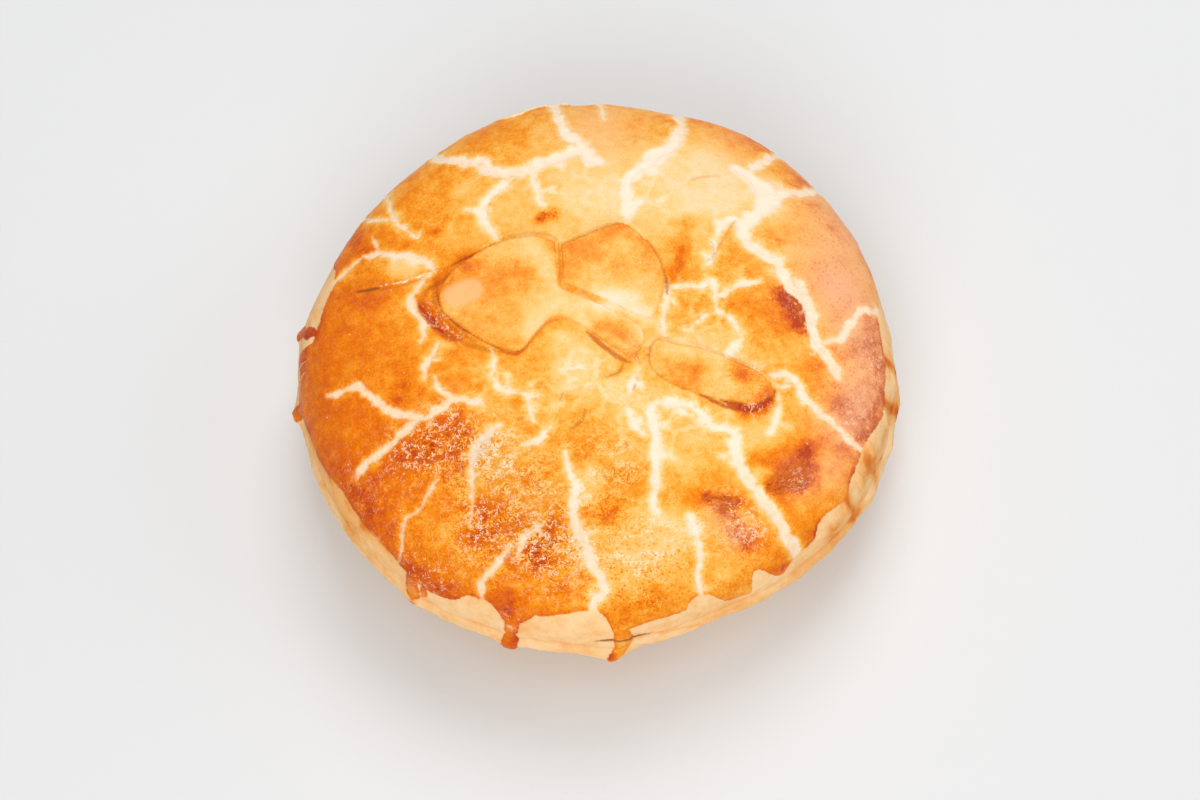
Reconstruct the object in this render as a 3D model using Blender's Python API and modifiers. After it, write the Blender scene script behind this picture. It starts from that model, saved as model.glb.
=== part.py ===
"""A hand-made domed beef pie with a glazed lid and three pastry cut-outs, in metres, +Z up.

The origin is under the middle of the pie, on its flat bottom. +X is the pie's right and -Y its
front. The pieces are turned and cut as a perfectly round pie first. One and the same unevenness then
moves all of them, so that they keep the thin gaps between them.
"""

import math

import bmesh
import bpy
from mathutils import Vector

MM = 0.001

# Driving dimensions of the round pie
BASE_RADIUS = 80 * MM
RIM_RADIUS = 98.3 * MM
RIM_HEIGHT = 29.5 * MM
SEAM_HEIGHT = 34.5 * MM
LID_RADIUS = 96.8 * MM
LID_RISE = 29.0 * MM
LID_THICKNESS = 5 * MM
CUTOUT_THICKNESS = 2.4 * MM
CUTOUT_REACH = 72 * MM
GAP = 0.4 * MM

# The lid's section is a superellipse: the first power flattens its top, the second rounds its shoulder
TOP_POWER = 3.0
SHOULDER_POWER = 2.6
CROWN_PITCH = 8 * MM
SHOULDER_START = math.radians(46)

# Flat facets round the pie, and rings of them over the shoulder, inside and outside the lid
SECTORS = 90
INNER_RINGS = 4
OUTER_RINGS = 7

# Where the round pie's axis lies. Its hand-shaped rim is not centred on it.
AXIS = Vector((1.2 * MM, 2.8 * MM, 0.0))

# How far the hand-shaped rim stands out from its mean radius, every 10 degrees round from +X
RIM_OFFSETS_MM = (
    -0.4, -1.0, -0.6, -1.1, -1.2, -0.8, -1.9, -3.7, -3.5,
    -2.9, -2.1, -2.7, -3.8, -4.3, -4.3, -3.4, -1.7, 0.9,
    1.2, 0.9, 0.9, 1.0, 0.7, 0.8, 0.5, -0.4, 0.2,
    0.3, -1.9, -2.9, -1.7, -0.4, 1.2, 1.8, 1.5, 1.3,
)

# Pinches and glaze drips of the rim: angle from +X and reach in degrees, and how far they stand out in mm
RIM_FOLDS = (
    (2, 3, 0.5),
    (168, 3, 1.3),
    (184.5, 3, 1.6),
    (229.5, 2.5, 1.0),
    (250, 3, 1.6),
    (269, 3, 1.5),
    (275, 3, -0.8),
    (329, 2.5, 0.9),
    (339, 2.5, 1.0),
    (349, 3.5, 0.8),
)
RIM_FOLD_DEPTH = 7 * MM

# The seam rises and drops in two slow waves: height in mm, waves in a turn and where they start
SEAM_WAVES = ((1.0, 3, 0.6), (0.7, 5, 2.1))
SEAM_WAVE_REACH = 12 * MM

# Soft swellings and sags of the filled dome: x, y, radius and height, all in mm
SWELLINGS_MM = (
    (-36, -34, 30, 1.2),
    (46, 12, 28, 1.0),
    (2, 56, 30, 0.8),
    (30, -50, 25, 1.1),
    (-60, 22, 24, -1.0),
    (64, -22, 18, -0.8),
)

# Splits of the glazed lid, wide enough to show as furrows: routes in plan from the axis, in mm
FURROWS_MM = {
    "right": ((53, 35), (50, 31), (55, 24), (61, 19), (64, 11), (68, 5), (70, -4), (72, -11), (76, -21)),
    "right_front": ((42, -38), (42, -47), (45, -55), (52, -64), (55, -70), (58, -74)),
    "right_low": ((55, -19), (62, -22), (64, -27), (72, -35), (82, -43)),
    "front": ((-12, -48), (-9, -53), (-11, -62), (-7, -73), (-3, -82)),
    "middle": ((18, -25), (17, -43), (15, -62)),
    "left": ((-87, -13), (-77, -12), (-69, -19), (-55, -26), (-45, -21), (-36, -24)),
    "left_branch": ((-57, -26), (-64, -31), (-71, -36), (-79, -41)),
    "left_arc": ((-86, 27), (-82, 28), (-75, 34), (-63, 33), (-50, 24)),
    "back": ((-7, 84), (-5, 74), (1, 67), (6, 60)),
    "back_right": ((34, 79), (29, 64), (14, 54), (14, 39)),
    "back_left": ((-48, 70), (-37, 65), (-28, 60), (-17, 60), (-2, 66)),
    "back_left_branch": ((-23, 57), (-34, 49), (-35, 39)),
}
FURROW_HALF_WIDTH = 1.7 * MM
FURROW_DEPTH = 0.8 * MM
FURROW_BENDS = 2

# Outlines of the pastry cut-outs in plan from the axis, in mm. A point given twice is a sharp corner.
LEAF_OUTLINE_MM = (
    (-10, 31), (-10, 31), (-17, 34), (-29, 33), (-41, 27), (-48, 20), (-49, 12), (-44, 5), (-33, -4), (-24, -7),
    (-19, -2), (-12, 4), (-4, 0), (4, -7), (11, -13), (11, -13), (16, -8), (16, -8), (15, -1), (4, 7), (-5, 12),
    (-10, 15), (-10, 15),
)
SIDE_LEAF_OUTLINE_MM = (
    (-9, 16), (-9, 16), (-9, 30), (-9, 30), (-3, 32), (5, 35), (12, 36), (18, 31), (23, 22), (24, 14), (22, 6),
    (19, 1), (19, 1), (14, 2.2), (5, 8), (-4, 13),
)
STALK_OUTLINE_MM = (
    (17, -16), (17, -10), (20, -6), (26, -8), (34, -10), (42, -14), (50, -18), (55, -23), (55, -28), (49, -31),
    (40, -29), (31, -26), (23, -22),
)
OUTLINE_STEPS = 3


def around(values, angle):
    """Read a ring of evenly spaced values at an angle, along a smooth closed curve through them."""
    place = (angle / math.tau) % 1.0 * len(values)
    first = int(place)
    share = place - first
    before, start, end, after = (values[(first + step) % len(values)] for step in (-1, 0, 1, 2))
    return start + 0.5 * share * (
        end - before
        + share * (2 * before - 5 * start + 4 * end - after + share * (3 * (start - end) + after - before))
    )


def rim_stretch(angle):
    """How far the hand-made pie is drawn out from its axis at an angle, as a factor."""
    return 1.0 + around(RIM_OFFSETS_MM, angle) * MM / RIM_RADIUS


def uneven(point):
    """Move a point of the perfectly round pie to where it lies on the hand-made one."""
    angle = math.atan2(point.y, point.x)
    radius = math.hypot(point.x, point.y)
    stretch = rim_stretch(angle)
    for degrees, reach, height in RIM_FOLDS:
        turn = (math.degrees(angle) - degrees + 180.0) % 360.0 - 180.0
        level = (point.z - RIM_HEIGHT) / RIM_FOLD_DEPTH
        stretch += height * MM / RIM_RADIUS * math.exp(-((turn / reach) ** 2) - level**2)
    swelling = 0.0
    for x, y, reach, height in SWELLINGS_MM:
        distance = math.hypot(point.x - x * MM, point.y - y * MM)
        swelling += height * MM * math.exp(-((distance / (reach * MM)) ** 2))
    wave = sum(height * MM * math.sin(count * angle + start) for height, count, start in SEAM_WAVES)
    nearness = math.exp(-(((point.z - SEAM_HEIGHT) / SEAM_WAVE_REACH) ** 2)) * (radius / RIM_RADIUS) ** 4
    rise = swelling * point.z / (SEAM_HEIGHT + LID_RISE) + wave * nearness * min(1.0, point.z / SEAM_WAVE_REACH)
    return Vector((point.x * stretch, point.y * stretch, point.z + rise)) + AXIS


def dome_height(radius, dome_radius, rise):
    """Height of the domed section above its foot, at a distance from the axis."""
    share = min(1.0, radius / dome_radius)
    return rise * (1.0 - share**TOP_POWER) ** (1.0 / SHOULDER_POWER)


def dome_section(dome_radius, rise, foot, pitch, shoulder_rings):
    """Radius and height points of a dome, from its top centre down to its foot."""
    section = []
    shoulder_radius = dome_radius * math.sin(SHOULDER_START) ** (2.0 / TOP_POWER)
    for ring in range(int(shoulder_radius / pitch)):
        radius = ring * pitch
        section.append((radius, foot + dome_height(radius, dome_radius, rise)))
    for ring in range(shoulder_rings + 1):
        turn = SHOULDER_START + (math.pi / 2 - SHOULDER_START) * ring / shoulder_rings
        radius = dome_radius * math.sin(turn) ** (2.0 / TOP_POWER)
        section.append((radius, foot + dome_height(radius, dome_radius, rise)))
    return section


def through(points, steps, closed):
    """Points of a smooth curve through the given ones, with a number of steps between two of them."""
    count = len(points)
    curve = []
    for index in range(count if closed else count - 1):
        if points[index] == points[(index + 1) % count]:
            continue
        near = [index - 1, index, index + 1, index + 2]
        near = [i % count if closed else min(max(i, 0), count - 1) for i in near]
        before, start, end, after = (Vector(points[i]) for i in near)
        for step in range(steps):
            share = step / steps
            bend = 2 * before - 5 * start + 4 * end - after
            curve.append(
                start + 0.5 * share * (end - before + share * (bend + share * (3 * (start - end) + after - before)))
            )
    if not closed:
        curve.append(Vector(points[-1]))
    return curve


def clear_scene():
    """Remove whatever the scene holds."""
    for thing in list(bpy.data.objects):
        bpy.data.objects.remove(thing, do_unlink=True)


def new_collection(name):
    """Make a collection under the scene's own."""
    collection = bpy.data.collections.new(name)
    bpy.context.scene.collection.children.link(collection)
    return collection


def pastry(name, colour, roughness):
    """A baked pastry surface."""
    material = bpy.data.materials.new(name)
    material.use_nodes = True
    shader = material.node_tree.nodes["Principled BSDF"]
    shader.inputs["Base Color"].default_value = (*colour, 1.0)
    shader.inputs["Roughness"].default_value = roughness
    shader.inputs["Metallic"].default_value = 0.0
    return material


def plain_pastry():
    """Pale baked shortcrust of the base and its rim."""
    return pastry("plain_pastry", (0.80, 0.52, 0.26), 0.7)


def glazed_pastry():
    """Egg-washed lid, baked orange brown."""
    return pastry("glazed_pastry", (0.80, 0.30, 0.05), 0.38)


def golden_pastry():
    """Egg-washed cut-outs, baked golden."""
    return pastry("golden_pastry", (0.85, 0.43, 0.12), 0.38)


def solid_copy(source, name, collection):
    """Keep the finished mesh of an object as a plain mesh object, and remove the object it came from."""
    evaluated = source.evaluated_get(bpy.context.evaluated_depsgraph_get())
    mesh = bpy.data.meshes.new_from_object(evaluated)
    place = source.matrix_world.copy()
    bpy.data.objects.remove(source, do_unlink=True)
    thing = bpy.data.objects.new(name, mesh)
    thing.matrix_world = place
    collection.objects.link(thing)
    return thing


def weld(thing):
    """Join the points of a mesh that lie on each other, such as those of a curve's caps."""
    shape = bmesh.new()
    shape.from_mesh(thing.data)
    bmesh.ops.remove_doubles(shape, verts=shape.verts, dist=0.01 * MM)
    bmesh.ops.recalc_face_normals(shape, faces=shape.faces)
    shape.to_mesh(thing.data)
    shape.free()


def turned(name, section, collection):
    """Turn a section about the Z axis and make the result uneven. The section runs top to bottom."""
    mesh = bpy.data.meshes.new(name)
    edges = [(index, index + 1) for index in range(len(section) - 1)]
    mesh.from_pydata([(radius, 0.0, height) for radius, height in section], edges, [])
    profile = bpy.data.objects.new(name, mesh)
    collection.objects.link(profile)
    screw = profile.modifiers.new("turning", "SCREW")
    screw.steps = screw.render_steps = SECTORS
    screw.use_merge_vertices = True
    screw.merge_threshold = 0.01 * MM
    triangles = profile.modifiers.new("triangles", "TRIANGULATE")
    triangles.quad_method = "FIXED"
    bpy.context.view_layer.update()
    thing = solid_copy(profile, name, collection)
    for vertex in thing.data.vertices:
        vertex.co = uneven(vertex.co)
    return thing


def finish(thing, material):
    """Shade a piece smooth and give it its one material."""
    thing.data.materials.clear()
    thing.data.materials.append(material)
    thing.data.shade_smooth()
    thing.data.set_sharp_from_angle(angle=math.radians(50))


def pastry_case(collection):
    """The base crust with its filling, up to the domed top that carries the lid."""
    ledge = SEAM_HEIGHT - GAP
    section = dome_section(
        LID_RADIUS - LID_THICKNESS - GAP, LID_RISE - LID_THICKNESS, ledge, 2 * CROWN_PITCH, INNER_RINGS
    )
    rim = (
        (RIM_RADIUS - 1.6 * MM, ledge),
        (RIM_RADIUS - 0.6 * MM, ledge - 1.2 * MM),
        (RIM_RADIUS, RIM_HEIGHT),
        (RIM_RADIUS - 1.0 * MM, RIM_HEIGHT - 2.2 * MM),
        (RIM_RADIUS - 3.4 * MM, RIM_HEIGHT - 4.6 * MM),
        (BASE_RADIUS + 9.5 * MM, 13 * MM),
        (BASE_RADIUS + 3.0 * MM, 3 * MM),
        (BASE_RADIUS + 1.4 * MM, 0.8 * MM),
        (BASE_RADIUS - 0.6 * MM, 0.0),
        (BASE_RADIUS / 2, 0.0),
        (0.0, 0.0),
    )
    thing = turned("pastry_case", section + list(rim), collection)
    finish(thing, plain_pastry())


def furrow(name, route, collection):
    """A rod that lies along a split of the lid and cuts its furrow."""
    rod_radius = (FURROW_HALF_WIDTH**2 + FURROW_DEPTH**2) / (2 * FURROW_DEPTH)
    lift = rod_radius - FURROW_DEPTH
    flat = [(x * MM, y * MM) for x, y in route]
    line = through(flat, FURROW_BENDS, closed=False)
    curve = bpy.data.curves.new(name, "CURVE")
    curve.dimensions = "3D"
    curve.bevel_depth = rod_radius
    curve.bevel_resolution = 2
    curve.use_fill_caps = True
    spline = curve.splines.new("POLY")
    spline.points.add(len(line) - 1)
    for point, drawn_place in zip(spline.points, line):
        place = drawn_place / rim_stretch(math.atan2(drawn_place.y, drawn_place.x))
        radius = place.length
        nearby = 0.5 * MM
        slope = (
            dome_height(radius - nearby, LID_RADIUS, LID_RISE) - dome_height(radius + nearby, LID_RADIUS, LID_RISE)
        ) / (2 * nearby)
        outward = Vector((place.x * slope / radius, place.y * slope / radius, 1.0)).normalized()
        surface = Vector((place.x, place.y, SEAM_HEIGHT + dome_height(radius, LID_RADIUS, LID_RISE)))
        point.co = (*uneven(surface + outward * lift), 1.0)
    rod = bpy.data.objects.new(name, curve)
    collection.objects.link(rod)
    bpy.context.view_layer.update()
    cutter = solid_copy(rod, name, collection)
    weld(cutter)
    hide_cutter(cutter)


def hide_cutter(cutter):
    """Show a cutter as a wire only."""
    cutter.hide_render = True
    cutter.display_type = "WIRE"


def pie_lid(collection, furrows):
    """The domed sheet of pastry over the filling, split by furrows, down to its seam with the rim."""
    inside = dome_section(
        LID_RADIUS - LID_THICKNESS, LID_RISE - LID_THICKNESS, SEAM_HEIGHT, 2 * CROWN_PITCH, INNER_RINGS
    )
    outside = dome_section(LID_RADIUS, LID_RISE, SEAM_HEIGHT, CROWN_PITCH, OUTER_RINGS)
    lid = turned("pie_lid", outside + inside[::-1], collection)
    for name, route in FURROWS_MM.items():
        furrow("furrow_" + name, route, furrows)
    cut = lid.modifiers.new("furrows", "BOOLEAN")
    cut.operation = "DIFFERENCE"
    cut.operand_type = "COLLECTION"
    cut.collection = furrows
    cut.solver = "EXACT"
    finish(lid, glazed_pastry())


def outline_cutter(name, outline, collection):
    """An upright prism with the outline of a pastry cut-out."""
    curve = bpy.data.curves.new(name, "CURVE")
    curve.dimensions = "2D"
    curve.fill_mode = "BOTH"
    curve.extrude = LID_RISE
    points = through([(x * MM, y * MM) for x, y in outline], OUTLINE_STEPS, closed=True)
    spline = curve.splines.new("POLY")
    spline.use_cyclic_u = True
    spline.points.add(len(points) - 1)
    for point, place in zip(spline.points, points):
        point.co = (place.x, place.y, 0.0, 1.0)
    shape = bpy.data.objects.new(name, curve)
    shape.location = AXIS + Vector((0.0, 0.0, SEAM_HEIGHT + LID_RISE))
    collection.objects.link(shape)
    bpy.context.view_layer.update()
    cutter = solid_copy(shape, name, collection)
    weld(cutter)
    hide_cutter(cutter)
    return cutter


def cutout(name, outline, collection, cutters):
    """A pastry shape cut from a thin sheet that lies on the lid."""
    rings = int(CUTOUT_REACH / CROWN_PITCH) + 1
    top = []
    for ring in range(rings):
        radius = ring * CROWN_PITCH
        top.append((radius, SEAM_HEIGHT + GAP + CUTOUT_THICKNESS + dome_height(radius, LID_RADIUS, LID_RISE)))
    bottom = [(radius, height - CUTOUT_THICKNESS) for radius, height in reversed(top)]
    sheet = turned(name, top + bottom, collection)
    cut = sheet.modifiers.new("outline", "BOOLEAN")
    cut.operation = "INTERSECT"
    cut.object = outline_cutter(name + "_outline", outline, cutters)
    cut.solver = "EXACT"
    finish(sheet, golden_pastry())


def main():
    """Build the pie."""
    clear_scene()
    pie = new_collection("beef_pie")
    furrows = new_collection("furrow_cutters")
    cutters = new_collection("outline_cutters")
    pastry_case(pie)
    pie_lid(pie, furrows)
    cutout("leaf", LEAF_OUTLINE_MM, pie, cutters)
    cutout("side_leaf", SIDE_LEAF_OUTLINE_MM, pie, cutters)
    cutout("stalk_end", STALK_OUTLINE_MM, pie, cutters)


if __name__ == "__main__":
    main()
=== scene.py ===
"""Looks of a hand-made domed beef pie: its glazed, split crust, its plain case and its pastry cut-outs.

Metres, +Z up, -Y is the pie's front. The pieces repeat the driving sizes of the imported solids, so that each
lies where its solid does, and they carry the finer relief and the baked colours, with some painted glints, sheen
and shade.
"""

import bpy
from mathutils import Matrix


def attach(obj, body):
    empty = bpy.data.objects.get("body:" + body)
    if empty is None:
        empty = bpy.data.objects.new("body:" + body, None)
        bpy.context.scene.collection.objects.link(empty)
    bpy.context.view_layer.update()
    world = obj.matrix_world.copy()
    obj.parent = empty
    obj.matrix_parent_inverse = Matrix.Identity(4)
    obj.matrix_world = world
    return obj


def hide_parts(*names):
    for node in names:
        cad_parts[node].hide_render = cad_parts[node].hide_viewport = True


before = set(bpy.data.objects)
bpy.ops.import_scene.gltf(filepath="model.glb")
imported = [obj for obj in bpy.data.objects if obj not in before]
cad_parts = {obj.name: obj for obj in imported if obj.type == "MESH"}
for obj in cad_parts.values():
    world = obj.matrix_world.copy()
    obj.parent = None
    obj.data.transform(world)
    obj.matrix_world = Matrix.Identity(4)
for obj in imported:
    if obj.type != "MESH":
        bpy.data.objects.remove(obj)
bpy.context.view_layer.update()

import functools
import math
import random

import bpy
import numpy as np
from bpy.props import FloatProperty, FloatVectorProperty, PointerProperty
from mathutils import Matrix, Vector, noise
from mathutils.bvhtree import BVHTree
from mathutils.geometry import delaunay_2d_cdt
from mathutils.kdtree import KDTree

bl_info = {
    "name": "Beef pie looks",
    "version": (1, 0, 0),
    "blender": (4, 5, 0),
    "location": "View3D > Sidebar > Pie",
    "description": "Dresses the packed beef pie with its baked crust, case and pastry cut-outs",
    "category": "Object",
}

MM = 0.001
BODY = "root"

# The round pie before it is made uneven, as its solids are. The rim's offsets stand evenly round it, from the
# right over the back. A fold has its place and half width in degrees and its height in mm, a wave of the seam its
# height in mm, count and start, and a swelling its place, reach and height in mm.
BASE_RADIUS = 80 * MM
RIM_RADIUS = 98.3 * MM
RIM_HEIGHT = 29.5 * MM
SEAM_HEIGHT = 34.5 * MM
LID_RADIUS = 96.8 * MM
LID_RISE = 29.0 * MM
LID_THICKNESS = 5 * MM
CUTOUT_THICKNESS = 2.4 * MM
GAP = 0.4 * MM
TOP_POWER = 3.0
SHOULDER_POWER = 2.6
LID_FOOT = 0.6 * MM
AXIS = np.array((1.2 * MM, 2.8 * MM, 0.0))
RIM_OFFSETS_MM = (
    -0.4, -1.0, -0.6, -1.1, -1.2, -0.8, -1.9, -3.7, -3.5, -2.9, -2.1, -2.7, -3.8, -4.3, -4.3, -3.4, -1.7, 0.9,
    1.2, 0.9, 0.9, 1.0, 0.7, 0.8, 0.5, -0.4, 0.2, 0.3, -1.9, -2.9, -1.7, -0.4, 1.2, 1.8, 1.5, 1.3,
)
RIM_FOLDS = (
    (2, 3, 0.5), (168, 3, 1.3), (184.5, 3, 1.6), (229.5, 2.5, 1.0), (250, 3, 1.6), (269, 3, 1.5), (275, 3, -0.8),
    (329, 2.5, 0.9), (339, 2.5, 1.0), (349, 3.5, 0.8),
)
RIM_FOLD_DEPTH = 7 * MM
SEAM_WAVES = ((1.0, 3, 0.6), (0.7, 5, 2.1))
SEAM_WAVE_REACH = 12 * MM
SWELLINGS_MM = (
    (-36, -34, 30, 1.2), (46, 12, 28, 1.0), (2, 56, 30, 0.8), (30, -50, 25, 1.1), (-60, 22, 24, -1.0),
    (64, -22, 18, -0.8),
)

# How finely the visible pastry is modelled
CRUST_RINGS = 150
CRUST_STEP = 8
CASE_SECTORS = 960
CASE_PITCH = 0.62 * MM
CUTOUT_PITCH = 0.62 * MM
DOME_SAMPLES = 4000
HIDDEN_RINGS = 12
HIDDEN_STEP = 12
LINE_PITCH = 0.4 * MM

# Borders of the lines on the pastry: how far round a line they are worked out, and how softly they rise or fall
SPLIT_REACH = 4 * MM
RUN_REACH = 5 * MM
SPLIT_SLOPE = 1.1 * MM
LIP_PLACE = 0.9 * MM
LIP_WIDTH = 0.8 * MM
RUN_SLOPE = 1.5 * MM
GLAZE_SLOPE = 1.0 * MM
MARK_SOFTNESS = 0.5 * MM
SLIT_SOFTNESS = 0.35 * MM
LINE_TAPER = 5 * MM

# Low relief of the pastry
GLAZE_THICKNESS = 0.2 * MM
GRAIN_SIZE = 2.6 * MM
GRAIN_HEIGHT = 0.12 * MM
EDGE_RAGGEDNESS = 0.3 * MM
POOL_DEPTH = 0.1 * MM
SLIT_DEPTH = 0.4
BANK_REACH = 8 * MM
BANK_WIDTH = 2.6 * MM
CREASE_WIDTH = 0.45 * MM
CREASE_DEPTH = 0.2 * MM
CRUMB_HEIGHT = 0.18 * MM
CASE_LUMP_HEIGHT = 0.4 * MM
CUTOUT_ROUNDING = 1.3 * MM
CUTOUT_LUMP_HEIGHT = 0.35 * MM
CUTOUT_CRUMB_HEIGHT = 0.1 * MM
CUTOUT_TUCK = 0.2 * MM
CUTOUT_SUNK = 0.9 * MM

# The camera that took the pie: its lens, size of picture, where it looks and how it is held
PICTURE_WIDTH = 1200
PICTURE_HEIGHT = 800
LENS_PIXELS = 2441.2
SENSOR_WIDTH = 36.0
VIEW_ELEVATION = math.radians(67.39)
VIEW_ROLL = math.radians(-4.165)
VIEW_DISTANCE = 0.8286
VIEW_TARGET = Vector((0.00155, 0.00065, 0.008))
PIE_MIDDLE_PIXEL = (596.0, 385.0)
PIXEL_STEP = 0.5
MOST_PIXEL_STEPS = 80
CLEAR_OF_PIE = 0.2

# The studio: floor, even light of the room, and soft panels with their place, what they look at, width, power and
# whether the glaze reflects them
FLOOR_SIZE = 6.0
ROOM_COLOUR = (0.95, 0.97, 1.0, 1.0)
ROOM_STRENGTH = 0.24
FLOOR_GREYS = ((0.72, 0.72, 0.72), (0.75, 0.75, 0.75))
LIT_MIDDLE = (0.0, 0.0, 0.04)
LIT_SIDE = (0.0, 0.0, 0.03)
PANELS = (
    ("back_panel", (0.25, 1.1, 1.6), LIT_MIDDLE, 1.2, 17.6, True),
    ("front_panel", (-0.3, -1.5, 1.3), LIT_MIDDLE, 1.4, 17.6, False),
    ("low_panel", (0.0, -1.1, 0.16), LIT_SIDE, 0.8, 2.2, False),
    ("top_panel", (-0.3, -0.1, 1.9), LIT_MIDDLE, 1.6, 9.2, False),
    ("right_panel", (1.3, 0.1, 1.0), LIT_MIDDLE, 1.0, 4.0, True),
)

# Places on the pie are named by the picture's pixels that show them. A split has its width in mm and its route.
SPLITS = (
    (3.6, ((430, 150), (437, 158), (455, 161), (470, 163), (484, 160), (490, 168), (498, 172), (515, 172),
           (530, 170), (540, 163), (550, 160), (565, 155), (575, 150), (586, 152))),
    (3.2, ((552, 98), (556, 110), (560, 122), (565, 133), (575, 140), (585, 148), (590, 158), (600, 163))),
    (2.3, ((512, 177), (503, 186), (493, 194), (485, 203), (481, 212), (484, 221), (491, 230), (497, 240))),
    (3.4, ((486, 203), (482, 212), (485, 221))),
    (1.3, ((531, 172), (533, 180), (537, 190), (540, 203), (545, 205))),
    (1.6, ((380, 190), (388, 198), (391, 212), (395, 221), (403, 227), (410, 232))),
    (1.5, ((362, 217), (371, 221), (381, 220), (391, 219))),
    (1.1, ((411, 234), (416, 238), (421, 231))),
    (1.7, ((322, 296), (328, 289), (335, 282), (345, 272), (355, 262), (364, 256))),
    (2.6, ((362, 257), (378, 254), (395, 255), (410, 257), (422, 260), (430, 266), (436, 272))),
    (1.3, ((373, 237), (377, 248), (378, 254))),
    (1.7, ((431, 275), (424, 281), (417, 289), (412, 298))),
    (3.3, ((413, 293), (411, 303), (416, 315))),
    (1.9, ((415, 313), (423, 323), (424, 335), (419, 345))),
    (2.2, ((437, 342), (433, 355), (426, 365), (425, 378))),
    (1.6, ((435, 377), (438, 388), (447, 395), (460, 400))),
    (2.7, ((328, 396), (340, 393), (352, 387), (357, 386), (365, 392), (374, 398), (380, 405), (390, 411),
           (400, 414), (412, 415), (425, 418), (435, 412), (445, 405), (455, 399), (470, 400), (485, 405))),
    (1.2, ((430, 418), (430, 430))),
    (2.7, ((418, 420), (408, 428), (398, 438), (388, 447), (378, 455), (368, 462), (360, 470), (356, 478))),
    (1.3, ((492, 350), (494, 365), (493, 378))),
    (1.9, ((493, 376), (497, 385), (508, 391), (520, 393))),
    (1.8, ((517, 392), (528, 397), (530, 408), (533, 420))),
    (1.0, ((531, 384), (533, 390), (530, 397))),
    (2.7, ((500, 425), (488, 433), (478, 442), (473, 455), (471, 468))),
    (1.5, ((472, 462), (472, 485), (473, 500))),
    (0.6, ((473, 498), (471, 514), (469, 528))),
    (1.2, ((438, 480), (430, 490), (424, 500), (420, 510), (410, 515), (404, 522), (402, 535), (402, 548),
           (398, 562))),
    (1.7, ((545, 522), (535, 530), (525, 537), (521, 547), (516, 556))),
    (2.4, ((512, 545), (505, 553), (498, 562), (492, 571), (485, 578), (481, 588), (482, 599))),
    (1.9, ((563, 450), (567, 460), (570, 472), (575, 484))),
    (2.9, ((573, 480), (576, 489), (574, 500), (573, 515), (577, 528), (583, 538), (587, 550), (590, 560),
           (596, 570), (602, 580), (604, 588), (600, 597), (593, 605), (592, 615))),
    (2.6, ((655, 407), (653, 416), (655, 430), (656, 450), (656, 470), (655, 485), (653, 500), (655, 510))),
    (1.1, ((629, 410), (633, 421), (641, 431), (650, 437))),
    (1.3, ((657, 402), (670, 403), (685, 403), (696, 407))),
    (2.3, ((692, 406), (704, 417), (715, 427), (730, 430), (736, 440))),
    (3.7, ((736, 430), (735, 445), (737, 458), (743, 470), (750, 482), (757, 492), (766, 504), (775, 514),
           (782, 526), (786, 536), (793, 545), (799, 560))),
    (2.4, ((770, 375), (782, 374), (792, 377), (798, 385), (802, 395), (812, 402), (818, 412), (830, 420),
           (840, 430), (850, 440), (858, 447), (866, 455))),
    (1.5, ((775, 385), (790, 387))),
    (1.2, ((778, 397), (779, 410), (775, 422), (770, 432))),
    (3.9, ((775, 197), (765, 205), (757, 215), (748, 222), (742, 232), (748, 243), (758, 250), (770, 257),
           (780, 265), (783, 275), (790, 287), (800, 295), (808, 305), (812, 315), (812, 328), (815, 340),
           (822, 350), (830, 360), (835, 370), (838, 378))),
    (3.0, ((793, 278), (801, 287), (807, 298))),
    (4.2, ((758, 184), (770, 195), (776, 203))),
    (2.7, ((822, 345), (832, 340), (842, 338), (848, 328), (855, 318), (862, 310), (870, 311), (880, 314),
           (890, 315))),
    (2.4, ((863, 312), (872, 315))),
    (3.0, ((826, 184), (814, 190), (800, 193), (790, 192), (775, 197), (765, 195), (757, 185), (750, 177),
           (742, 172), (735, 168))),
    (3.0, ((785, 146), (777, 154), (765, 160), (757, 165), (750, 172))),
    (3.3, ((682, 100), (680, 115), (680, 130), (675, 140), (668, 150), (655, 156), (648, 163))),
    (1.7, ((655, 157), (641, 169), (629, 180), (627, 192), (627, 206), (628, 219))),
    (1.2, ((733, 219), (727, 222), (720, 230), (715, 240), (714, 250), (712, 260), (704, 267))),
    (2.0, ((670, 287), (685, 285), (700, 287), (710, 280), (714, 288), (718, 295), (725, 293), (740, 285),
           (752, 283), (760, 280))),
    (1.1, ((712, 280), (716, 290), (715, 300), (718, 310), (730, 317), (738, 330), (742, 338))),
    (1.4, ((742, 339), (734, 346), (729, 355))),
    (0.8, ((684, 329), (695, 324), (706, 315))),
    (2.0, ((668, 280), (667, 295), (665, 310), (663, 322), (665, 335))),
    (1.6, ((638, 370), (633, 382), (632, 390))),
    (2.0, ((525, 445), (538, 440), (545, 433), (550, 427))),
    (1.9, ((689, 514), (695, 528), (699, 545), (701, 560), (698, 575), (700, 590), (703, 600))),
    (4.5, ((478, 166), (492, 172), (504, 174))),
    (1.0, ((599, 100), (601, 108), (604, 119))),
)

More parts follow.
